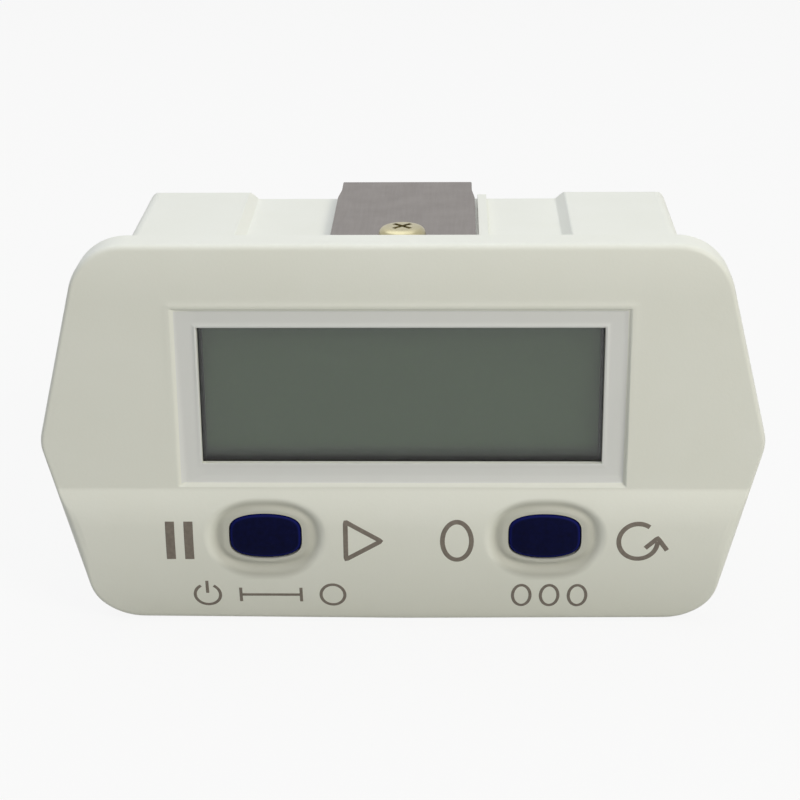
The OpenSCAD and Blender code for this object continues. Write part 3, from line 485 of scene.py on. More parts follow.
def thickness(x, z):
    # Side profile with a softened crease, and the rounded outer edge.
    spread = np.linspace(-CREASE_SOFT, CREASE_SOFT, 7)
    body = np.mean([side_profile(np.clip(z + s, -HALF_H, HALF_H)) for s in spread], axis=0)
    distance = inside_distance(x, z)
    rim = np.clip(distance / EDGE_IN, 0, 1)
    edge = EDGE_T + (NOSE_T - EDGE_T) * np.sqrt(1 - (1 - rim) ** 2)
    edge = edge + np.maximum(distance - EDGE_IN, 0)
    nick = np.clip(1 - distance / EDGE_R, 0, 1)
    body = soft_min(body - EDGE_R * (1 - np.sqrt(1 - nick ** 2)), edge, EDGE_FILLET)
    # Recess, deeper at its foot, with a wall of its own slope on each side.
    up = z - RECESS_Z
    beside = np.minimum(WALL_LEFT * (RECESS_W / 2 + x), WALL_RIGHT * (RECESS_W / 2 - x))
    above = np.minimum(WALL_TOP * (RECESS_H / 2 - up), WALL_FOOT * (RECESS_H / 2 + up))
    inset = np.minimum(beside, above)
    deep = RECESS_D - RECESS_TILT * up
    floor_d = deep + FRAME_SLOPE * np.clip(inset - deep, 0, FRAME_W)
    sunk = soft_min(inset, floor_d, FRAME_FILLET)
    body = body - soft_max(sunk, np.zeros(x.shape), RECESS_FILLET)
    # Bead round the recess and lip at the window.
    around = np.maximum(np.abs(x) - RECESS_W / 2, np.abs(up) - RECESS_H / 2)
    high = np.clip(0.5 + up / RECESS_H, 0, 1)
    body = body + BEAD_H * high * np.exp(-((around - BEAD_W) / BEAD_W) ** 2)
    beyond = np.maximum(np.abs(x) - WINDOW_W / 2, np.abs(z - WINDOW_Z) - WINDOW_H / 2)
    body = body + LIP_H * (LIP_FOOT + LIP_GAIN * high) * np.exp(-((beyond - LIP_IN) / LIP_IN) ** 2)
    # Dish and collar of each button.
    for centre in (PAUSE_X, RESET_X):
        u, v = x - centre, z - BUTTON_Z
        depth = DISH_D - oval_distance(u, v, DISH_W, DISH_H, *DISH_SQUARE)
        dish = DISH_FLOOR + soft_max(depth, np.zeros(x.shape), DISH_FILLET)
        body = soft_min(body, dish, DISH_EDGE_FILLET)
        away_from_hole = -oval_distance(u, v, HOLE_W, HOLE_H, *BUTTON_SQUARE)
        ring = COLLAR_H * np.minimum((COLLAR_W - away_from_hole) / (COLLAR_W * COLLAR_RUN), 1)
        body = soft_max(body, DISH_FLOOR + ring, COLLAR_FILLET)
    return body


sample = thickness(np.array([34.0, 34.0, 34.0]), np.array([5.0, -11.0, -20.0]))
print("thickness at the face, chin and foot:", sample.round(2).tolist())

# %% [markdown]
# The height field becomes a mesh on a grid whose lines are close together where the form turns
# quickly. Beyond a fixed width the columns spread out to follow the slanting sides, and the rows
# below the waist bend with the bow of the bottom edge. A wall and a flat back close the solid, so
# that cutters can take out the window, the button holes and the hollow behind. Cutting a solid is how
# the real tool works too, and it keeps every hole edge crisp.

# %% Bezel grid
STRAIGHT, EDGE_BAND = 30, 3


def grid_lines(*stretches):
    """Grid lines as runs of (from, to, spacing)."""
    runs = [np.linspace(a, b, max(2, round((b - a) / step) + 1))[:-1] for a, b, step in stretches]
    return np.concatenate(runs + [[stretches[-1][1]]])


half_columns = grid_lines((0, 9.4, 0.6), (9.4, 24.4, 0.2), (24.4, 27.8, 0.14),
                          (27.8, STRAIGHT, 0.5))
columns = np.concatenate([-half_columns[:0:-1], half_columns])
near_edge = EDGE_BAND * np.linspace(0, 1, 17) ** 2
across = grid_lines((-HALF_H + EDGE_BAND, -18, 0.5), (-18, -6.2, 0.2), (-6.2, -4.8, 0.1),
                    (-4.8, -2, 0.14), (-2, 14, 0.6), (14, 16.4, 0.14), (16.4, 17.6, 0.07),
                    (17.6, 18, 0.2), (18, HALF_H - EDGE_BAND, 0.4))
rows = np.concatenate([-HALF_H + near_edge[:-1], across, HALF_H - near_edge[-2::-1]])
outward = 1 - (1 - np.linspace(0, 1, 45)[1:]) ** 1.9
reach = half_width(rows)[:, None]
wing = STRAIGHT + (reach - STRAIGHT) * outward[None, :]
grid_x = np.hstack([-wing[:, ::-1], np.tile(columns, (len(rows), 1)), wing])
bend = np.clip((WAIST_Z - rows) / (WAIST_Z + HALF_H), 0, 1)
grid_z = rows[:, None] + bow_lift(grid_x) * bend[:, None]
grid_y = -thickness(grid_x, grid_z)
row_count, column_count = grid_x.shape
front = np.stack([grid_x, grid_y, grid_z], axis=-1).reshape(-1, 3)
index = np.arange(row_count * column_count).reshape(row_count, column_count)
quads = np.stack([index[:-1, :-1], index[:-1, 1:], index[1:, 1:], index[1:, :-1]], axis=-1)
rim_loop = np.concatenate([index[0, :-1], index[:-1, -1], index[-1, :0:-1], index[:0:-1, 0]])
back = front[rim_loop].copy()
back[:, 1] = 0
back_loop = len(front) + np.arange(len(rim_loop))
wall = np.stack([np.roll(rim_loop, -1), rim_loop, back_loop, np.roll(back_loop, -1)], axis=-1)
faces = quads.reshape(-1, 4).tolist() + wall.tolist() + [back_loop[::-1].tolist()]


def piece_from(name, points, faces, material):
    """New object from points in millimetres, with its faces turned outwards."""
    mesh = bpy.data.meshes.new(name)
    mesh.from_pydata((np.asarray(points) * MM).tolist(), [], faces)
    shape = bmesh.new()
    shape.from_mesh(mesh)
    bmesh.ops.recalc_face_normals(shape, faces=shape.faces)
    shape.to_mesh(mesh)
    shape.free()
    mesh.materials.append(material)
    made = bpy.data.objects.new(name, mesh)
    scene.collection.objects.link(made)
    return made


bezel = piece_from("bezel_moulding", np.vstack([front, back]), faces, bezel_abs)
print("bezel grid:", row_count, "by", column_count)

# %% [markdown]
# The cutters are prisms: an outline in X and Z, pushed through in Y. The list below has the pocket
# that takes the front of the case, the hollow for the electronics, the window with the step that
# seats the clear pane, the button holes, and the cored pockets that keep the two wings from sinking
# as the plastic cools.

# %% Cut the bezel
CASE_W, CASE_H, CHANNEL_X, CHANNEL_D, CASE_GAP, CASE_SEAT = 70, 42.8, 21.4, 1.2, 0.12, 2.0
CASE_R, CHANNEL_R, WING_WALL, WING_IN, SHARP_ANGLE = 1.6, 0.4, 2.6, 2, 32


def box_outline(width, height, z=0.0):
    x, low, high = width / 2, z - height / 2, z + height / 2
    return [(x, high), (-x, high), (-x, low), (x, low)]


def oval_outline(width, height, p, q, centre=(0, 0), count=96):
    angle = np.linspace(0, 2 * math.pi, count, endpoint=False)
    c, s = np.cos(angle), np.sin(angle)
    x = width / 2 * np.sign(c) * np.abs(c) ** (2 / p)
    z = height / 2 * np.sign(s) * np.abs(s) ** (2 / q)
    return np.stack([centre[0] + x, centre[1] + z], axis=-1)


def case_outline(grow):
    x, z, c = CASE_W / 2 + grow, CASE_H / 2 + grow, CASE_H / 2 - CHANNEL_D + grow
    e, f = CHANNEL_X - grow, CHANNEL_X - CHANNEL_D - grow
    upper = [(x, z), (e, z), (f, c), (-f, c), (-e, z), (-x, z)]
    lower = [(a, -b) for a, b in reversed(upper)]
    radii = [CASE_R] + 4 * [CHANNEL_R] + [CASE_R]
    return rounded_outline(upper + lower, radii + radii, 8)


def wing_outline(sign, low, high):
    z = np.linspace(low, high, 24)
    outer = half_width(z) - WING_WALL
    inner = CASE_W / 2 + WING_IN
    return [(sign * inner, low)] + [(sign * a, b) for a, b in zip(outer, z)] + [(sign * inner, high)]


def prism(outline, y0, y1):
    outline = np.asarray(outline, float)
    n = len(outline)
    ends = [np.insert(outline, 1, y, axis=1) for y in (y0, y1)]
    sides = [(i, (i + 1) % n, n + (i + 1) % n, n + i) for i in range(n)]
    caps = [list(range(n)), list(range(2 * n - 1, n - 1, -1))]
    return piece_from("cutter", np.vstack(ends), sides + caps, bezel_abs)


def make_plain(piece):
    """Turns what the modifiers show into the piece's own mesh, and removes them."""
    seen = piece.evaluated_get(bpy.context.evaluated_depsgraph_get())
    result = bpy.data.meshes.new_from_object(seen)
    piece.modifiers.clear()
    piece.data = result


def cut_away(piece, tool):
    cut = piece.modifiers.new("cut", "BOOLEAN")
    cut.operation = "DIFFERENCE"
    cut.solver = "MANIFOLD"
    cut.object = tool
    make_plain(piece)
    bpy.data.objects.remove(tool)


LENS_SEAT, POCKET_D, ROOM_X, CHIN_LOW, CHIN_ROOF, CHIN_DEEP = 3.6, 2.6, 32.8, -18.8, -7.08, 3.8
ROOM_WALL, ROOM_DEEP, LENS_STEP, THROUGH, BEHIND = 1.3, 2.8, 1.45, 8, 1
room = box_outline(CASE_W - 2 * ROOM_WALL, CASE_H - 2 * CHANNEL_D - 2 * ROOM_WALL)
chin_room = box_outline(2 * ROOM_X, CHIN_ROOF - CHIN_LOW, (CHIN_ROOF + CHIN_LOW) / 2)
lens_seat = box_outline(WINDOW_W + 2 * LENS_STEP, WINDOW_H + 2 * LENS_STEP, WINDOW_Z)
cutters = [
    (case_outline(CASE_GAP), CASE_SEAT),
    (room, ROOM_DEEP),
    (chin_room, CHIN_DEEP),
    (box_outline(WINDOW_W, WINDOW_H, WINDOW_Z), THROUGH),
    (lens_seat, LENS_SEAT),
]
for x in (PAUSE_X, RESET_X):
    cutters.append((oval_outline(HOLE_W, HOLE_H, *BUTTON_SQUARE, (x, BUTTON_Z)), THROUGH))
for low, high in ((-18.5, -8.9), (-7.7, 7.7), (8.9, 17.5)):
    cutters += [(wing_outline(sign, low, high), POCKET_D) for sign in (-1, 1)]
for outline, deep in cutters:
    cut_away(bezel, prism(outline, -deep, BEHIND))


def finish_piece(piece, body, nodes, flat_faces=False):
    """Smooth shading with crisp edges, then the piece takes over from its nodes."""
    piece.data.shade_smooth()
    piece.data.set_sharp_from_angle(angle=math.radians(SHARP_ANGLE))
    if flat_faces:
        piece.modifiers.new("flat faces", "WEIGHTED_NORMAL").keep_sharp = True
        make_plain(piece)
    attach(piece, body)
    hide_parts(*nodes)


print("cuts made:", len(cutters))

# %% [markdown]
# The cut bezel gets its two finishes: the polished frame round the window, and painted shade in
# the dishes, which fades out over the rounded edge of each dish.

# %% Finish the bezel
spots = np.empty(3 * len(bezel.data.vertices))
bezel.data.vertices.foreach_get("co", spots)
x, _, z = spots.reshape(-1, 3).T / MM
# Painted shade: full inside each dish, fading out over its rounded edge.
DISH_SHADE_W, DISH_SHADE_H, DISH_SHADE_Z = DISH_W - 0.8, DISH_H + 0.4, BUTTON_Z - 0.45
DISH_SHADE_EDGE, DISH_SHADE_FADE, FRAME_EDGE, FACING_FRONT = 0.2, 0.9, 0.35, -0.3
in_dish = [oval_distance(x - centre, z - DISH_SHADE_Z, DISH_SHADE_W, DISH_SHADE_H, *DISH_SQUARE)
           for centre in (PAUSE_X, RESET_X)]
dish_shade_share = np.clip(DISH_SHADE_EDGE + np.maximum(*in_dish) / DISH_SHADE_FADE, 0, 1)
bezel.data.attributes.new("dish_shade", "FLOAT", "POINT").data.foreach_set("value", dish_shade_share)
bezel.data.materials.append(polished_abs)
for face in bezel.data.polygons:
    x, y, z = face.center / MM
    in_frame = max(abs(x) - RECESS_W / 2, abs(z - RECESS_Z) - RECESS_H / 2) < -FRAME_EDGE
    face.material_index = int(in_frame and y < -LENS_SEAT and face.normal.y < FACING_FRONT)
finish_piece(bezel, "case", ["front_bezel"])
print("bezel faces:", len(bezel.data.polygons))

# %% [markdown]
# Each button is a small barrel-shaped cap. Its outline shrinks ring by ring from the flange that
# holds it in, up the straight side, round the edge and over a low crown. Lofted rings are easier to
# control than a bevel, because one short list sets the roundness.

# %% Buttons
COLLAR_T = DISH_FLOOR + COLLAR_H
RIM_T = COLLAR_T - 0.15
CROWN_T = RIM_T + 0.45
CAP_GROW, CAP_POINTS = 0.2, 80
CAP_W, CAP_H = BUTTON_W + CAP_GROW, BUTTON_H + CAP_GROW
STEM_D, STEM_END, FLANGE, FLANGE_BACK, FLANGE_FRONT = 3.4, 0.55, 1.1, 2.85, 3.75
ROUND_R, ROUND_LOW, CROWN_LOW = 0.55, 0.35, 0.2


def loft(name, rings, material):
    """Closed skin over a stack of rings with equal point counts."""
    n = len(rings[0])
    sides = [(k * n + i, k * n + (i + 1) % n, (k + 1) * n + (i + 1) % n, (k + 1) * n + i)
             for k in range(len(rings) - 1) for i in range(n)]
    last = (len(rings) - 1) * n
    ends = [list(range(n)), list(range(last + n - 1, last - 1, -1))]
    return piece_from(name, np.vstack(rings), sides + ends, material)


def cap_ring(inset, y, centre):
    width, height = CAP_W - 2 * inset, CAP_H - 2 * inset
    return np.insert(oval_outline(width, height, *BUTTON_SQUARE, centre, CAP_POINTS), 1, y, axis=1)


for name, x in (("pause", PAUSE_X), ("reset", RESET_X)):
    centre = (x, BUTTON_Z)
    stem = oval_outline(STEM_D, STEM_D, 2, 2, centre, CAP_POINTS)
    rings = [np.insert(stem, 1, -y, axis=1) for y in (STEM_END, FLANGE_BACK)]
    rings += [cap_ring(-FLANGE, -y, centre) for y in (FLANGE_BACK, FLANGE_FRONT)]
    rings += [cap_ring(0, y, centre) for y in (-FLANGE_FRONT, -RIM_T + ROUND_LOW)]
    for step in range(1, 9):
        angle = math.radians(90 * step / 8)
        inset = ROUND_R * (1 - math.cos(angle))
        rings.append(cap_ring(inset, -RIM_T + ROUND_LOW - ROUND_R * math.sin(angle), centre))
    for inset in (0.75, 1.0, 1.3, 1.7, 2.1, 2.5):
        rise = 1 - ((CAP_H / 2 - inset) / (CAP_H / 2 - ROUND_R)) ** 2
        y = -RIM_T - CROWN_LOW - (CROWN_T - RIM_T - CROWN_LOW) * rise
        rings.append(cap_ring(inset, y, centre))
    cap = loft(name + "_cap", rings, navy_abs)
    finish_piece(cap, name + "_button", [name + "_button"])
print("button rings:", len(rings))

# %% [markdown]
# Case, door and clips keep their engineered shape, but a real moulding or pressing has no razor
# edges. A merged copy of each gets a fine bevel on its sharp edges only, which catches the light the
# way a broken edge does. Weighted normals then keep the large faces flat to the eye, so that only the
# bevels look round.

# %% Case, door and clips
SAME_POINT, SAME_PLANE, BEVEL_FROM = 1e-6, math.radians(0.5), math.radians(40)


def softened(node, name, body, material, width):
    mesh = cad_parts[node].data.copy()
    shape = bmesh.new()
    shape.from_mesh(mesh)
    bmesh.ops.remove_doubles(shape, verts=shape.verts, dist=SAME_POINT)
    bmesh.ops.dissolve_limit(shape, angle_limit=SAME_PLANE, verts=shape.verts, edges=shape.edges)
    shape.to_mesh(mesh)
    shape.free()
    mesh.materials.clear()
    mesh.materials.append(material)
    piece = bpy.data.objects.new(name, mesh)
    scene.collection.objects.link(piece)
    bevel = piece.modifiers.new("edge", "BEVEL")
    bevel.width = width * MM
    bevel.segments = 2
    bevel.limit_method = "ANGLE"
    bevel.angle_limit = BEVEL_FROM
    make_plain(piece)
    finish_piece(piece, body, [node], True)
    return piece


case = softened("rear_case", "case_moulding", "case", ivory_abs, 0.12)
softened("battery_door", "door_moulding", "battery_door", ivory_abs, 0.08)
for end in ("top", "bottom"):
    softened(end + "_clip", end + "_clip_strip", end + "_clip", clip_steel, 0.12)
print("case faces:", len(case.data.polygons))

# %% [markdown]
# Screws and printed strokes each repeat one rule, so Geometry Nodes trees make them. Small functions
# start a tree, end it, run it on a base mesh, and add a sum to it.

# %% Helpers for node trees
def start_tree(name, inputs):
    """Node tree with a geometry going in and out, and one named input for each size."""
    tree = bpy.data.node_groups.new(name, "GeometryNodeTree")
    tree.interface.new_socket("Geometry", in_out="INPUT", socket_type="NodeSocketGeometry")
    tree.interface.new_socket("Geometry", in_out="OUTPUT", socket_type="NodeSocketGeometry")
    for label, kind in inputs.items():
        tree.interface.new_socket(label, in_out="INPUT", socket_type="NodeSocket" + kind)
    return tree, tree.nodes.new("NodeGroupInput").outputs


def end_tree(tree, shape, finish):
    """The last two steps of each tree: real copies, then the material."""
    real = add(tree, "GeometryNodeRealizeInstances", {"Geometry": shape})
    dressed = add(tree, "GeometryNodeSetMaterial", {"Geometry": real.outputs[0], "Material": finish})
    add(tree, "NodeGroupOutput", {0: dressed.outputs[0]})


def grow(name, base, tree, values):
    """Runs a tree on a base mesh and keeps the outcome as a plain mesh."""
    piece = bpy.data.objects.new(name, base)
    nodes = piece.modifiers.new("grow", "NODES")
    nodes.node_group = tree
    for item in tree.interface.items_tree:
        if item.in_out == "INPUT" and item.name in values:
            nodes[item.identifier] = values[item.name]
    scene.collection.objects.link(piece)
    make_plain(piece)
    return piece


def number(tree, operation, *values):
    return add(tree, "ShaderNodeMath", dict(enumerate(values)), operation=operation).outputs[0]


print("ready for node trees")

# %% [markdown]
# The screws are cold headed: a punch upsets the end of a wire into a pan head and stamps the cross in
# the same blow. The tree bends a cylinder into the head, takes the cross out, adds the shank, and sets
# a copy on every point of a base mesh, turned the way the point says. One bar of the cross is a little
# shallower, so that no two of its faces coincide.

# %% Tree for the pan head screws
lengths = ["Head Diameter", "Head Height", "Squareness", "Shank Diameter", "Shank Length",
           "Slot Length", "Slot Width", "Slot Depth"]
screw_tree, size = start_tree(
    "pan head screws", {**{label: "Float" for label in lengths}, "Finish": "Material"})
tree = screw_tree
rod = add(tree, "GeometryNodeMeshCylinder",
          {"Vertices": 48, "Side Segments": 16, "Radius": 1.0, "Depth": 1.0}).outputs["Mesh"]
here = add(tree, "GeometryNodeInputPosition").outputs[0]
on_rod = add(tree, "ShaderNodeSeparateXYZ", {0: here}).outputs
climb = number(tree, "MULTIPLY", number(tree, "ADD", on_rod["Z"], 0.5), math.pi / 2)
power = number(tree, "DIVIDE", 2.0, size["Squareness"])
cosine = number(tree, "MAXIMUM", number(tree, "COSINE", climb), 0.0)
inward = number(tree, "POWER", cosine, power)
upward = number(tree, "POWER", number(tree, "SINE", climb), power)
head_radius = number(tree, "DIVIDE", size["Head Diameter"], 2.0)
radius = number(tree, "MULTIPLY", head_radius, inward)
on_head = add(tree, "ShaderNodeCombineXYZ", {
    "X": number(tree, "MULTIPLY", on_rod["X"], radius),
    "Y": number(tree, "MULTIPLY", on_rod["Y"], radius),
    "Z": number(tree, "MULTIPLY", size["Head Height"], upward)})
bent = add(tree, "GeometryNodeSetPosition", {"Geometry": rod, "Position": on_head.outputs[0]})
closed = add(tree, "GeometryNodeMergeByDistance",
             {"Geometry": bent.outputs[0], "Distance": SAME_POINT})
bars = []
for first, second, share in (("X", "Y", 2.0), ("Y", "X", 1.9)):
    edge = add(tree, "ShaderNodeCombineXYZ", {
        first: size["Slot Length"], second: size["Slot Width"],
        "Z": number(tree, "MULTIPLY", size["Slot Depth"], share)})
    bar = add(tree, "GeometryNodeMeshCube", {"Size": edge.outputs[0]})
    lift = add(tree, "ShaderNodeCombineXYZ", {"Z": size["Head Height"]})
    bars.append(add(tree, "GeometryNodeTransform", {
        "Geometry": bar.outputs["Mesh"], "Translation": lift.outputs[0]}).outputs[0])
crossed = add(tree, "GeometryNodeMeshBoolean", {"Mesh 1": closed.outputs[0], "Mesh 2": bars[0]},
              operation="DIFFERENCE", solver="EXACT")
tree.links.new(bars[1], crossed.inputs["Mesh 2"])
wire = add(tree, "GeometryNodeMeshCylinder", {
    "Vertices": 32, "Radius": number(tree, "DIVIDE", size["Shank Diameter"], 2.0),
    "Depth": size["Shank Length"]})
down = add(tree, "ShaderNodeCombineXYZ", {
    "Z": number(tree, "MULTIPLY", size["Shank Length"], -0.5)})
shank = add(tree, "GeometryNodeTransform", {
    "Geometry": wire.outputs["Mesh"], "Translation": down.outputs[0]})
whole = add(tree, "GeometryNodeJoinGeometry", {0: crossed.outputs["Mesh"]})
tree.links.new(shank.outputs[0], whole.inputs[0])
turn = add(tree, "GeometryNodeInputNamedAttribute", {"Name": "turn"}, data_type="FLOAT_VECTOR")
turned = add(tree, "FunctionNodeEulerToRotation", {0: turn.outputs["Attribute"]})
placed = add(tree, "GeometryNodeInstanceOnPoints", {
    "Points": size["Geometry"], "Instance": whole.outputs[0], "Rotation": turned.outputs[0]})
end_tree(tree, placed.outputs[0], size["Finish"])
print("screw tree:", len(screw_tree.nodes), "nodes")

# %% [markdown]
# Each base mesh has one point under every head, and a turn for it. The clip screws point up and down,
# the case screws point to the back, and no two crosses stand alike, as after a day of assembly.

# %% Screws
PAN_SQUARENESS = 5.0


def screws(name, node, slot, points, turns, **sizes):
    base = bpy.data.meshes.new(name + "_points")
    base.from_pydata((np.array(points) * MM).tolist(), [], [])
    turn = base.attributes.new("turn", "FLOAT_VECTOR", "POINT")
    turn.data.foreach_set("vector", np.radians(turns).ravel())
    finish = sizes.pop("Finish")
    values = {label.replace("_", " "): value * MM for label, value in sizes.items()}
    piece = grow(name, base, screw_tree, {**values, "Squareness": PAN_SQUARENESS, "Finish": finish})
    finish_piece(piece, "case", [node])
    box = [[round(c / MM, 2) for c in corner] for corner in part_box(node)]
    print(name, box, len(piece.data.polygons), "faces")


CLIP_HEAD_Z, CLIP_SCREW_Y = 21.6, 8.1
screws("clip_pan_screws", "clip_screws", "yellow_zinc",
       [(0, CLIP_SCREW_Y, CLIP_HEAD_Z), (0, CLIP_SCREW_Y, -CLIP_HEAD_Z)], [(0, 0, 45), (180, 0, 72)],
       Head_Diameter=5.9, Head_Height=2.1, Shank_Diameter=3.0, Shank_Length=6.25, Slot_Length=3.0,
       Slot_Width=0.6, Slot_Depth=0.45, Finish=yellow_zinc)
CASE_SCREW_X, CASE_SCREW_Y, CASE_SCREW_Z = 30.7, 9.1, 16.0
case_points = [(x, CASE_SCREW_Y, z)
               for x in (-CASE_SCREW_X, CASE_SCREW_X) for z in (-CASE_SCREW_Z, CASE_SCREW_Z)]
screws("case_pan_screws", "case_screws", "tinned_steel",
       case_points, [(-90, 12, 0), (-90, 47, 0), (-90, -20, 0), (-90, 68, 0)],
       Head_Diameter=4.8, Head_Height=1.9, Shank_Diameter=2.6, Shank_Length=10.0, Slot_Length=2.8,
       Slot_Width=0.6, Slot_Depth=0.9, Finish=bright_steel)

# %% [markdown]
# The marks on the chin are pad printed: a soft pad picks the ink out of an etched plate and rolls it
# on to the curved moulding. They say only what the keys do: two bars and a triangle beside the pause
# key, a nought and a turning arrow beside the reset key, and small signs below. Each stroke is a line
# in a flat drawing, and a tree lays it on the bezel: it thickens the line to a flat ribbon of ink and
# shoots a ray from the front at every point of it, to find how deep the surface lies there.

# %% Tree for the printed strokes
STROKE_STEP, RAY_FROM, RAY_LENGTH = 0.2 * MM, -20 * MM, 40 * MM
stroke_tree, given = start_tree("printed strokes", {
    "Bezel": "Object", "Stroke Width": "Float", "Ink Height": "Float", "Finish": "Material"})
tree = stroke_tree
curve = add(tree, "GeometryNodeMeshToCurve", {"Mesh": given["Geometry"]})
even = add(tree, "GeometryNodeResampleCurve",
           {"Curve": curve.outputs[0], "Length": STROKE_STEP}, mode="LENGTH")
nib_radius = number(tree, "DIVIDE", given["Stroke Width"], 2.0)
nib = add(tree, "GeometryNodeCurvePrimitiveCircle", {"Resolution": 12, "Radius": nib_radius})
ribbon = add(tree, "GeometryNodeCurveToMesh", {
    "Curve": even.outputs[0], "Profile Curve": nib.outputs["Curve"], "Fill Caps": True})
here = add(tree, "GeometryNodeInputPosition").outputs[0]
drawn = add(tree, "ShaderNodeSeparateXYZ", {0: here}).outputs
before = add(tree, "ShaderNodeCombineXYZ", {"X": drawn["X"], "Y": RAY_FROM, "Z": drawn["Z"]})
moulding = add(tree, "GeometryNodeObjectInfo", {"Object": given["Bezel"]})
ray = add(tree, "GeometryNodeRaycast", {
    "Target Geometry": moulding.outputs["Geometry"], "Source Position": before.outputs[0],
    "Ray Direction": (0, 1, 0), "Ray Length": RAY_LENGTH})
surface = add(tree, "ShaderNodeSeparateXYZ", {0: ray.outputs["Hit Position"]})
flat = number(tree, "DIVIDE", given["Ink Height"], nib_radius)
depth = number(tree, "MULTIPLY_ADD", drawn["Y"], flat, surface.outputs["Y"])
laid = add(tree, "ShaderNodeCombineXYZ", {"X": drawn["X"], "Y": depth, "Z": drawn["Z"]})
printed = add(tree, "GeometryNodeSetPosition",
              {"Geometry": ribbon.outputs[0], "Position": laid.outputs[0]})
end_tree(tree, printed.outputs[0], given["Finish"])
print("stroke tree:", len(stroke_tree.nodes), "nodes")

# %% [markdown]
# The drawing itself is short. Ink from a pad is thin and a little patchy, so its colour wanders
# between two greys at the size of the patches, about half a millimetre.

# %% Printed marks
INK_HEIGHT, SIGN_Z, SMALL_Z = 0.012, -12.7, -20.7
# Warm grey ink, matt and patchy, so that the off-white shows through in places.
ink = moulded("pad printed ink", "#6A6158", "#8C847A",
              roughness=0.60, grain=0.40, depth=0.004, shine=0.3, spot=0.5)


def arc(x, z, width, height, start=0, end=360):
    angle = np.radians(np.linspace(start, end, 49))
    return [(x + width / 2 * math.cos(a), z + height / 2 * math.sin(a)) for a in angle]


def bar(x, z, across, up):
    return [(x - across / 2, z - up / 2), (x + across / 2, z + up / 2)]


def print_marks(name, strokes, width):
    points, edges = [], []
    for stroke in strokes:
        closed = math.dist(stroke[0], stroke[-1]) < SAME_POINT
        kept = stroke[:-1] if closed else stroke
        first, count = len(points), len(kept)
        last = count if closed else count - 1
        edges += [(first + i, first + (i + 1) % count) for i in range(last)]
        points += [(x * MM, 0, z * MM) for x, z in kept]
    drawing = bpy.data.meshes.new(name + "_drawing")
    drawing.from_pydata(points, edges, [])
    piece = grow(name, drawing, stroke_tree, {
        "Bezel": bezel, "Stroke Width": width * MM, "Ink Height": INK_HEIGHT * MM, "Finish": ink})
    piece.data.shade_smooth()
    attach(piece, "case")
    print(name, len(piece.data.polygons), "faces")


print_marks("pause_bars", [bar(-28.8, SIGN_Z, 0, 5.2), bar(-26.5, SIGN_Z, 0, 5.2)], 1.15)
left, top, foot = -7.0, SIGN_Z + 2.6, SIGN_Z - 2.6
triangle = [(left, foot), (left, top), (left + 4.4, SIGN_Z), (left, foot)]
ARROW_X, ARROW_R = 29.2, 2.4
tip = (ARROW_X + ARROW_R, SIGN_Z)
turning = arc(ARROW_X, SIGN_Z, 2 * ARROW_R, 2 * ARROW_R, 55, 360)
head = [(tip[0] - 1.5, tip[1] - 0.9), (tip[0], tip[1] + 0.5), (tip[0] + 1.2, tip[1] - 1.2)]
print_marks("key_signs", [triangle, arc(6.8, SIGN_Z, 3.6, 5.2), turning, head], 0.6)
power_sign = [arc(-24.6, SMALL_Z, 3.2, 3.2, 120, 420), bar(-24.6, SMALL_Z + 1.2, 0, 1.9)]
hold_sign = [bar(-16.6, SMALL_Z, 7.6, 0), bar(-20.4, SMALL_Z, 0, 2.2), bar(-12.8, SMALL_Z, 0, 2.2)]
noughts = [arc(x, SMALL_Z, 2.2, 3.2) for x in (14.9, 18.4, 21.9)]
print_marks("small_signs", power_sign + hold_sign + [arc(-8.8, SMALL_Z, 3.0, 3.2)] + noughts, 0.40)

# %% [markdown]
# A cell is a steel can in a printed plastic sleeve. The sleeve stops short of both ends, where bare
# steel shows, and has a pale ring near its button. The two cells lie head to tail, so the distance
# along a cell is X for the upper one and minus X for the lower one, which the sign of Z tells apart.

# %% Cell sleeve
# Glossy tan with a pale ring, between two bright ends.
cell_sleeve = moulded("printed cell sleeve", "#B5893A", "#A87D31",
                      roughness=0.30, grain=1.5, depth=0.01)
tree = cell_sleeve.node_tree
shader = tree.nodes["Principled BSDF"]
sleeve = shader.inputs["Base Color"].links[0].from_socket
place = add(tree, "ShaderNodeTexCoord").outputs["Object"]
axes = add(tree, "ShaderNodeSeparateXYZ", {0: place}).outputs
upper_or_lower = number(tree, "SIGN", axes["Z"])
along_cell = number(tree, "MULTIPLY", axes["X"], upper_or_lower)
flat_end, button_end = (corner.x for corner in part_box("battery_upper"))


def within(low, high):
    """1 where the distance along the cell lies between the two, 0 elsewhere."""
    return number(tree, "COMPARE", along_cell, (low + high) / 2, (high - low) / 2)


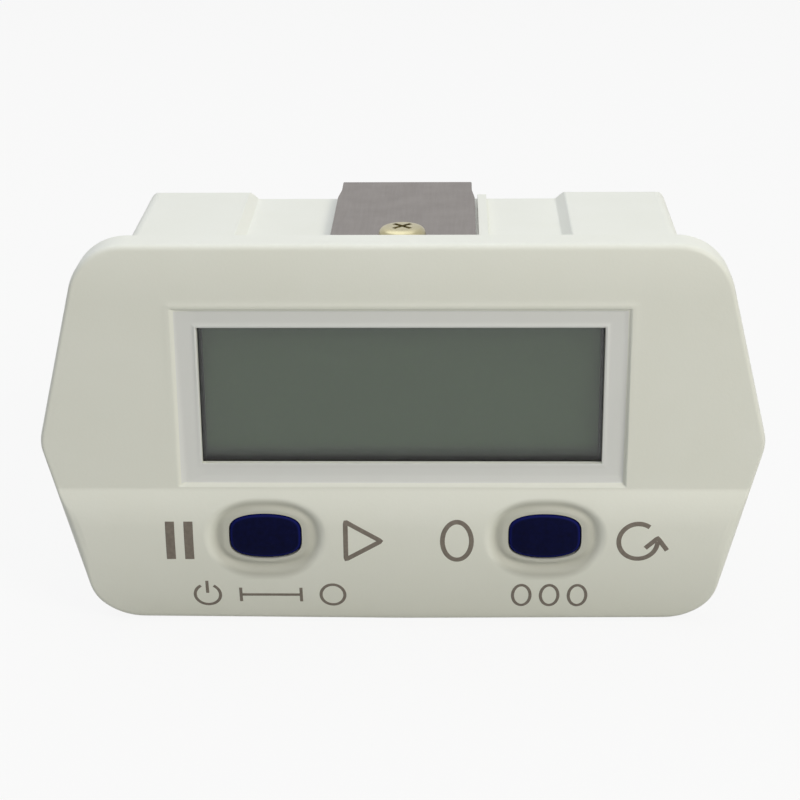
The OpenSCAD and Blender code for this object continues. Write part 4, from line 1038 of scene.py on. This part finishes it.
BUTTON_L, BARE_END, RING_FROM, RING_TO = 1.0 * MM, 0.8 * MM, 9.0 * MM, 6.5 * MM
ring = within(button_end - RING_FROM, button_end - RING_TO)
covered = within(flat_end + BARE_END, button_end - BUTTON_L - BARE_END)
bare = number(tree, "SUBTRACT", 1.0, covered)
ringed = add(tree, "ShaderNodeMix", {0: ring, 6: sleeve, 7: linear("#DDDAD0")}, data_type="RGBA")
wrapped = add(tree, "ShaderNodeMix", {0: bare, 6: ringed.outputs[2], 7: linear("#B9BABB")},
              data_type="RGBA")
tree.links.new(wrapped.outputs[2], shader.inputs["Base Color"])
tree.links.new(bare, shader.inputs["Metallic"])
print("cells from", round(flat_end / MM, 1), "to", round(button_end / MM, 1), "mm")

# %% [markdown]
# The remaining pieces are right as they come from the engineering model, and only need their finish.

# %% Finishes of the other pieces
# Deep green with a smooth, lacquered shine.
board_mask = moulded("green solder mask", "#1E5B33", "#1A512D", roughness=0.35, grain=0.5, depth=0.02)
# Dull brown, like unglazed pottery.
chip_ceramic = moulded("chip ceramic", "#7A5A3C", "#6A4D33", roughness=0.55, grain=0.3, depth=0.01)
# Dusty pink with darker patches.
zebra_rubber = moulded("layered contact rubber", "#C49AA0", "#8F6A70",
                       roughness=0.65, grain=0.3, depth=0.02)
# Black drop with a clear highlight.
epoxy = moulded("black epoxy", "#101112", "#151617", roughness=0.28, grain=0.8, depth=0.02)
finishes = {
    clear_acrylic: ["window_lens"],
    polariser: ["lcd_front_polariser"],
    display_glass: ["lcd_front_glass", "lcd_rear_glass"],
    reflector: ["lcd_reflector"],
    black_abs: ["lcd_holder", "pause_switch_base", "reset_switch_base", "pause_switch_plunger",
                "reset_switch_plunger"],
    zebra_rubber: ["zebra_strips"],
    board_mask: ["main_board"],
    epoxy: ["controller_blob"],
    chip_ceramic: ["chip_components"],
    white_nylon: ["sensor_header"],
    turned_brass: ["header_pins", "clip_inserts"],
    bright_steel: ["clock_crystal", "pause_switch_cover", "reset_switch_cover", "board_screws",
                   "positive_contact", "negative_contact", "bridge_contact"],
    black_rubber: ["cable_grommet"],
    cell_sleeve: ["battery_upper", "battery_lower"],
}
for finish, nodes in finishes.items():
    for node in nodes:
        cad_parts[node].data.materials.clear()
        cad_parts[node].data.materials.append(finish)
print("finished nodes:", sum(len(nodes) for nodes in finishes.values()))
